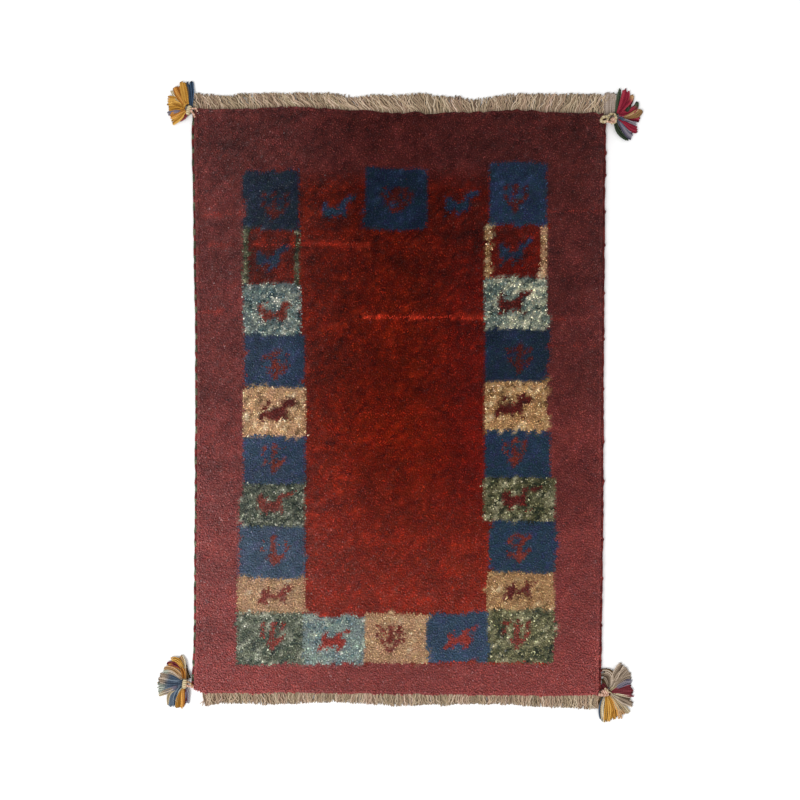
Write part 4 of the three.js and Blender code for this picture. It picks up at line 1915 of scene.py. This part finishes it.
TOP_RIGHT_LOCKS = (
    Lock(Yarn.BROWN, 3, (7, 0), (11, -13), (14, -19), (3, 4, 3)),
    Lock(Yarn.FUZZ, 12, (-1, 3), (-0.5, 21), (0, 37), (16, 18, 15)),
    Lock(Yarn.PINE, 4, (7, -9), (12.6, -22), (26, -32), (3, 4.5, 3)),
    Lock(Yarn.LILAC, 4, (10, -2), (22, -22), (31, -29), (3, 5, 6)),
    Lock(Yarn.SLATE, 5, (11, -3), (20, -15.7), (33, -24), (3, 6, 7), tip=Yarn.LILAC),
    Lock(Yarn.RED, 5, (12, -3), (29.6, -14.4), (40, -17.5), (3, 8, 8), lift=0.6),
    Lock(Yarn.LILAC, 4, (12, 1), (25, -5), (39, -9.5), (4, 7, 6), lift=0.6),
    Lock(Yarn.SLATE, 2, (13, -1), (20.7, -3.8), (27, -5.5), (2, 3, 2), lift=1.6),
    Lock(Yarn.RED, 4, (12, 2), (31, -1), (44, -2.5), (4, 6, 6), lift=0.8),
    Lock(Yarn.TAN, 6, (20, -0.5), (36.5, 4.5), (44, 12), (3, 10, 8), lift=1.4),
    Lock(Yarn.RED, 5, (14, 5), (33, 11.5), (39.5, 23.5), (6, 8, 3), tip=Yarn.PINE, lift=1.0),
    Lock(Yarn.RED, 4, (13, 6), (28.5, 22), (32, 34.5), (5, 6, 3), tip=Yarn.TAN, lift=0.8),
    Lock(Yarn.RED, 4, (12, 6), (23, 25), (25.5, 39), (5, 6, 4), lift=1.0),
    Lock(Yarn.RED, 5, (11, 5), (17.6, 24), (21.5, 43), (5, 7, 4), lift=1.3),
    Lock(Yarn.PINE, 4, (8, 4), (11, 22.5), (14, 42), (4, 5.6, 2.6), lift=1.0),
    Lock(Yarn.PINE, 3, (23, 8), (26, 14), (28.5, 20), (3, 5, 3), lift=2.4),
)
BOTTOM_LEFT_LOCKS = (
    Lock(Yarn.PALE, 2, (-15, -9), (-27, -18), (-28, -34), (2, 3, 2)),
    Lock(Yarn.GREIGE, 3, (-14, -5), (-31, -13), (-42, -18), (3, 6, 4), tip=Yarn.PALE),
    Lock(Yarn.SLATE, 5, (-9, -3), (-28, -9), (-43, -12.5), (5, 7, 7), tip=Yarn.FROST),
    Lock(Yarn.SLATE, 5, (-7, -1), (-27, -4.5), (-43.5, -4.3), (6, 8, 8), tip=Yarn.FROST),
    Lock(Yarn.SLATE, 5, (-7, 1), (-26, 0.5), (-43, 3.6), (7, 9, 7), tip=Yarn.GREIGE),
    Lock(Yarn.SLATE, 5, (-7, 2), (-23, 7), (-40.5, 10.8), (6, 10, 6), tip=Yarn.GREIGE, lift=0.6),
    Lock(Yarn.GREIGE, 3, (-7, 6), (-22, 15.5), (-37, 16.1), (3, 4, 5), tip=Yarn.FROST, lift=0.4),
    Lock(Yarn.LILAC, 3, (-14, -4), (-22, -8), (-28, -13), (2, 4, 4), tip=Yarn.PALE, lift=1.6),
    Lock(Yarn.LILAC, 3, (-1.5, -7), (0.4, -19), (0.2, -30), (3, 4, 4)),
    Lock(Yarn.WINE, 3, (-4, -7), (-3.4, -19), (-3.3, -31.5), (3, 4, 3), lift=0.6),
    Lock(Yarn.SLATE, 4, (-9, -5), (-20, -18), (-25, -35.5), (5, 7, 4), lift=0.6),
    Lock(Yarn.SLATE, 3, (-8, -5), (-17, -20), (-19, -35.5), (4, 5, 3), lift=0.8),
    Lock(Yarn.FROST, 2, (-6, -6), (-14, -17), (-16.5, -28), (1.5, 2, 1.5), lift=1.2),
    Lock(Yarn.GOLD, 5, (-6, -7), (-10.5, -23), (-12.5, -38), (4, 9, 10), lift=1.0),
    Lock(Yarn.AMBER, 3, (-5, -7), (-6, -24), (-7.4, -35.5), (3, 4, 4), lift=1.2),
    Lock(Yarn.BROWN, 3, (3, 7), (0, 16), (-3.3, 28), (4, 3, 3)),
    Lock(Yarn.PALE, 3, (-2.5, 22), (-5.5, 33), (-8.8, 40.5), (2, 4, 3)),
    Lock(Yarn.TAN, 4, (-4, 7), (-6.5, 25), (-13.5, 39), (5, 8, 7), lift=0.6),
    Lock(Yarn.GOLD, 4, (-6, 24), (-14, 32.5), (-24, 33.5), (4, 8, 6), lift=1.2),
    Lock(Yarn.TAN, 3, (-7, 8), (-19, 20), (-35, 21), (4, 4, 5), lift=0.8),
    Lock(Yarn.WINE, 3, (-8, 23), (-20, 28.5), (-29.5, 28), (2, 4, 3), lift=1.4),
    Lock(Yarn.AMBER, 3, (-4, 8), (-10, 23), (-30, 25), (4, 5, 4), lift=1.8),
)
BOTTOM_RIGHT_LOCKS = (
    Lock(Yarn.BROWN, 4, (-4, -6), (-8, -13), (-11, -19), (3, 5, 5)),
    Lock(Yarn.SLATE, 2, (-3, -6), (-7.8, -25), (-4.6, -42), (2, 3, 3)),
    Lock(Yarn.PALE, 3, (-1.5, -5), (-5, -23), (-2.8, -43.5), (2, 3, 3)),
    Lock(Yarn.BROWN, 3, (4, 9), (0, 15.5), (-5.6, 16.5), (3, 4, 5)),
    Lock(Yarn.WINE, 4, (1, 2), (-2, 8), (-4.6, 12.5), (5, 7, 6)),
    Lock(Yarn.GREIGE, 4, (5, 9), (2, 21.5), (-4.5, 22.5), (4, 8, 8)),
    Lock(Yarn.BROWN, 3, (8, 11), (10, 28), (-4, 32.5), (2, 3, 3)),
    Lock(Yarn.GREIGE, 4, (6, 9), (7, 25), (-3.5, 29), (4, 7, 7), lift=0.8),
    Lock(Yarn.TAN, 3, (6, -4), (17, -22), (22, -39), (3, 5, 4)),
    Lock(Yarn.CREAM, 4, (7, -3), (20, -20), (28, -32.5), (3, 7, 6), tip=Yarn.TAN),
    Lock(Yarn.GREIGE, 4, (8, -2.5), (22, -16.5), (35.4, -31.5), (3, 7, 5), tip=Yarn.PALE),
    Lock(Yarn.GREIGE, 5, (8, -1), (27, -12), (40.5, -18.5), (3, 8, 6)),
    Lock(Yarn.PALE, 4, (8, 0), (25, -6), (38, -9), (3, 6, 7), tip=Yarn.GREIGE),
    Lock(Yarn.LILAC, 4, (9, 5), (26, 13), (39, 15.8), (4, 7, 7)),
    Lock(Yarn.WINE, 5, (5, 1), (23, -0.5), (41.5, -2), (4, 8, 8), lift=0.6),
    Lock(Yarn.WINE, 6, (5, 2), (23, 3.5), (40, 5.5), (4, 9, 12), lift=0.9),
    Lock(Yarn.GREIGE, 5, (7, 7), (24, 19.5), (38, 25), (4, 9, 9)),
    Lock(Yarn.GREIGE, 5, (7, 8), (22, 25), (33, 35), (4, 10, 8), lift=0.7),
    Lock(Yarn.GREIGE, 5, (7, 8), (15.5, 27), (24.5, 41.5), (4, 9, 7), lift=0.4),
    Lock(Yarn.PALE, 2, (6, 4), (15, 11), (22.5, 17), (2, 3, 2), lift=1.8),
    Lock(Yarn.AMBER, 3, (3, -5), (12, -21), (15, -39), (3, 7, 5), lift=0.5),
    Lock(Yarn.GOLD, 5, (2, -5), (8, -22.5), (9.6, -42.5), (4, 9, 8), lift=0.9),
    Lock(Yarn.GOLD, 4, (1, -5), (3, -24.5), (1.5, -44), (4, 8, 8), lift=1.2),
)
# Where wool ends stick out of the right side cord
RIGHT_KNOBS = (367, 334, 280, 231, 160, 92, 18, -60, -118, -204, -262, -331, -398)
# Tips of the fringes from left to right: x, y of the tips, lean for each mm of length
TOP_TIPS = np.array(
    [
        [-299, 454.5, -0.3],
        [-244, 452, -0.6],
        [-200, 456, -0.5],
        [-90, 455, -0.65],
        [-60, 450, -0.7],
        [-33, 453.5, -0.6],
        [42, 454.5, -0.45],
        [90, 450.5, -0.35],
        [112, 445.5, -0.15],
        [121, 449.5, 0.1],
        [142, 451.5, 0.2],
        [175, 455, 0.25],
        [302, 455, 0.25],
    ]
)
BOTTOM_TIPS = np.array(
    [
        [-290, -451, 0.0],
        [-280, -449.5, -0.12],
        [-262, -446.5, 0.04],
        [-200, -448, 0.08],
        [-90, -446, -0.1],
        [20, -450, 0.08],
        [130, -448, -0.06],
        [220, -452, 0.06],
        [297, -455, -0.06],
    ]
)


@dataclass
class Studio:
    """A white floor, soft light from the lower left, and a camera straight above."""

    photo_width: float = 800 * 1.48  # millimetres of floor that the picture is wide
    photo_middle: tuple[float, float] = (0.7, 3.0)
    lens: float = 50.0
    sensor: float = 36.0
    lamp_place: tuple[float, float, float] = (-1.5, -1.3, 2.6)
    lamp_size: float = 1.2
    lamp_watts: float = 55.0
    sky_strength: float = 0.86
    floor_half_width: float = 15.0  # in metres
    floor_drop: float = 0.5  # how far the floor lies below the rug
    floor_colour: str = "#f7f7f7"  # near-white paper
    floor_roughness: float = 0.9

    def build(self) -> None:
        """Builds the floor, the lights and the camera."""
        self.floor()
        self.lights()
        self.camera()

    def floor(self) -> None:
        """Lays a plain near-white floor."""
        half, level = self.floor_half_width, -self.floor_drop * MM
        mesh = bpy.data.meshes.new("floor")
        corners = [(-half, -half, level), (half, -half, level), (half, half, level), (-half, half, level)]
        mesh.from_pydata(corners, [], [(0, 1, 2, 3)])
        floor = bpy.data.objects.new("floor", mesh)
        bpy.context.scene.collection.objects.link(floor)
        material = bpy.data.materials.new("white paper floor")
        material.use_nodes = True
        shader = material.node_tree.nodes["Principled BSDF"]
        shader.inputs["Base Color"].default_value = (*linear_colour(self.floor_colour), 1)
        shader.inputs["Roughness"].default_value = self.floor_roughness
        shader.inputs["Specular IOR Level"].default_value = 0.0
        mesh.materials.append(material)

    def lights(self) -> None:
        """Sets even light from all round, and one large soft lamp aimed at the rug's middle."""
        world = bpy.data.worlds.new("studio")
        bpy.context.scene.world = world
        world.use_nodes = True
        sky = world.node_tree.nodes["Background"]
        sky.inputs["Color"].default_value = (1, 1, 1, 1)
        sky.inputs["Strength"].default_value = self.sky_strength
        lamp = bpy.data.lights.new("soft key", "AREA")
        lamp.size = self.lamp_size
        lamp.energy = self.lamp_watts
        lamp_object = bpy.data.objects.new("soft key", lamp)
        lamp_object.location = self.lamp_place
        aim = -np.array(self.lamp_place)
        tilt = math.atan2(math.hypot(aim[0], aim[1]), -aim[2])
        turn = math.atan2(aim[0], -aim[1]) + math.pi
        lamp_object.rotation_euler = (tilt, 0, turn)
        bpy.context.scene.collection.objects.link(lamp_object)

    def camera(self) -> None:
        """Sets a camera looking straight down, with the photograph's framing."""
        camera = bpy.data.cameras.new("camera")
        camera.lens = self.lens
        camera.sensor_width = self.sensor
        view = bpy.data.objects.new("camera", camera)
        distance = self.photo_width * self.lens / self.sensor
        view.location = (self.photo_middle[0] * MM, self.photo_middle[1] * MM, distance * MM)
        bpy.context.scene.collection.objects.link(view)
        bpy.context.scene.camera = view


def corner_tassels(plan: RugPlan) -> list[CornerTassel]:
    """Lists the four tassels with their heads and the strands that hold them.

    Args:
        plan: The rug's outline, which gives their seats.

    Returns:
        The tassels, from the top left.
    """
    return [
        CornerTassel(
            plan,
            "top_left_tassel",
            Side.LEFT,
            429,
            TOP_LEFT_LOCKS,
            (Binding(Yarn.CREAM, (4.2, 7.2), (0.4, -6.6), 4.0, 5.0, 5),),
            (
                Stitch(Yarn.ROSE, ((3, -1, 5), (7, -2, 11), (11, -8, 13), (12, -11, 11)), 1.4),
                Stitch(Yarn.ROSE, ((5, 2, 6), (9, 1, 12), (14, 1, 13.4), (16, -3, 11.4)), 1.2),
            ),
            seed=90,
        ),
        CornerTassel(
            plan,
            "top_right_tassel",
            Side.RIGHT,
            419,
            TOP_RIGHT_LOCKS,
            (Binding(Yarn.ROSE, (-2, -5.5), (6, -2.5), 4.2, 6.0, 4),),
            (
                Stitch(
                    Yarn.CREAM,
                    (
                        (-16, -6, 10),
                        (-13, -2, 13.5),
                        (-8, -1, 13),
                        (-4, -3, 11),
                        (-6, -7, 12),
                        (-12, -9, 13.4),
                        (-16, -7, 11),
                    ),
                    2.2,
                ),
                Stitch(
                    Yarn.CREAM,
                    (
                        (-4, -8, 8),
                        (-5, 0, 11),
                        (-1, 3.5, 11),
                        (5, 3, 9.5),
                        (7.5, -2, 8),
                        (6, -8, 7),
                        (0, -9.5, 7.5),
                    ),
                    1.9,
                ),
                Stitch(Yarn.ROSE, ((-14, -7, 11), (-7, -8, 13.5), (-1, -9, 11), (6, -7, 8)), 1.5),
                Stitch(Yarn.BROWN, ((-6, -9, 13.4), (-3, -4, 13.4), (1, 0, 13), (3, 3, 11)), 0.9),
            ),
            seed=91,
        ),
        CornerTassel(
            plan,
            "bottom_left_tassel",
            Side.LEFT,
            -416,
            BOTTOM_LEFT_LOCKS,
            (Binding(Yarn.CREAM, (-2.4, 6.4), (-4, -7.4), 4.0, 5.2, 5),),
            (
                Stitch(Yarn.ROSE, ((-2, -2, 6), (2, -3, 8), (7, -3, 12), (11, -4, 11.5)), 1.9),
                Stitch(Yarn.TAN, ((-1, 2, 6), (3, 3, 9), (7, 1, 12), (10, -2, 11.6)), 1.2),
            ),
            seed=92,
        ),
        CornerTassel(
            plan,
            "bottom_right_tassel",
            Side.RIGHT,
            -430,
            BOTTOM_RIGHT_LOCKS,
            (Binding(Yarn.ROSE, (-7, -0.6), (4, 3.6), 4.4, 6.6, 4),),
            (
                Stitch(Yarn.ROSE, ((-11, -1, 11), (-8, -1, 13), (-3, -2, 10.5), (3, -2, 8)), 2.2),
                Stitch(Yarn.CREAM, ((-2, 8, 9), (1, 5, 10.5), (5, 2, 10), (8, 0, 7)), 1.0),
            ),
            seed=93,
        ),
    ]


def main() -> None:
    """Builds the rug piece by piece."""
    logging.basicConfig(level=logging.INFO, format="%(message)s")
    bpy.context.scene.view_settings.view_transform = "Standard"
    Studio().build()
    plan = RugPlan()
    cartoon = Cartoon(plan)
    ground = WovenGround(plan, cartoon).build()
    pile = Pile(plan, cartoon).build()
    maroon = Wool.MAROON.value.shades
    dyes = (maroon, GREY_GREEN)
    cords = [
        SideCord(plan, Side.LEFT, "left_side_cord", -423, 430, dyes, 9.6).build(),
        SideCord(plan, Side.RIGHT, "right_side_cord", -433, 424, (maroon,), 40, RIGHT_KNOBS).build(),
    ]
    fringes = [
        WarpFringe(plan, End.TOP, "top_fringe", TOP_TIPS, 0.2, 13, seed=81).build(),
        WarpFringe(plan, End.BOTTOM, "bottom_fringe", BOTTOM_TIPS, 0.12, 10, seed=82).build(),
    ]
    tassels = [tassel.build() for tassel in corner_tassels(plan)]


if __name__ == "__main__":
    main()
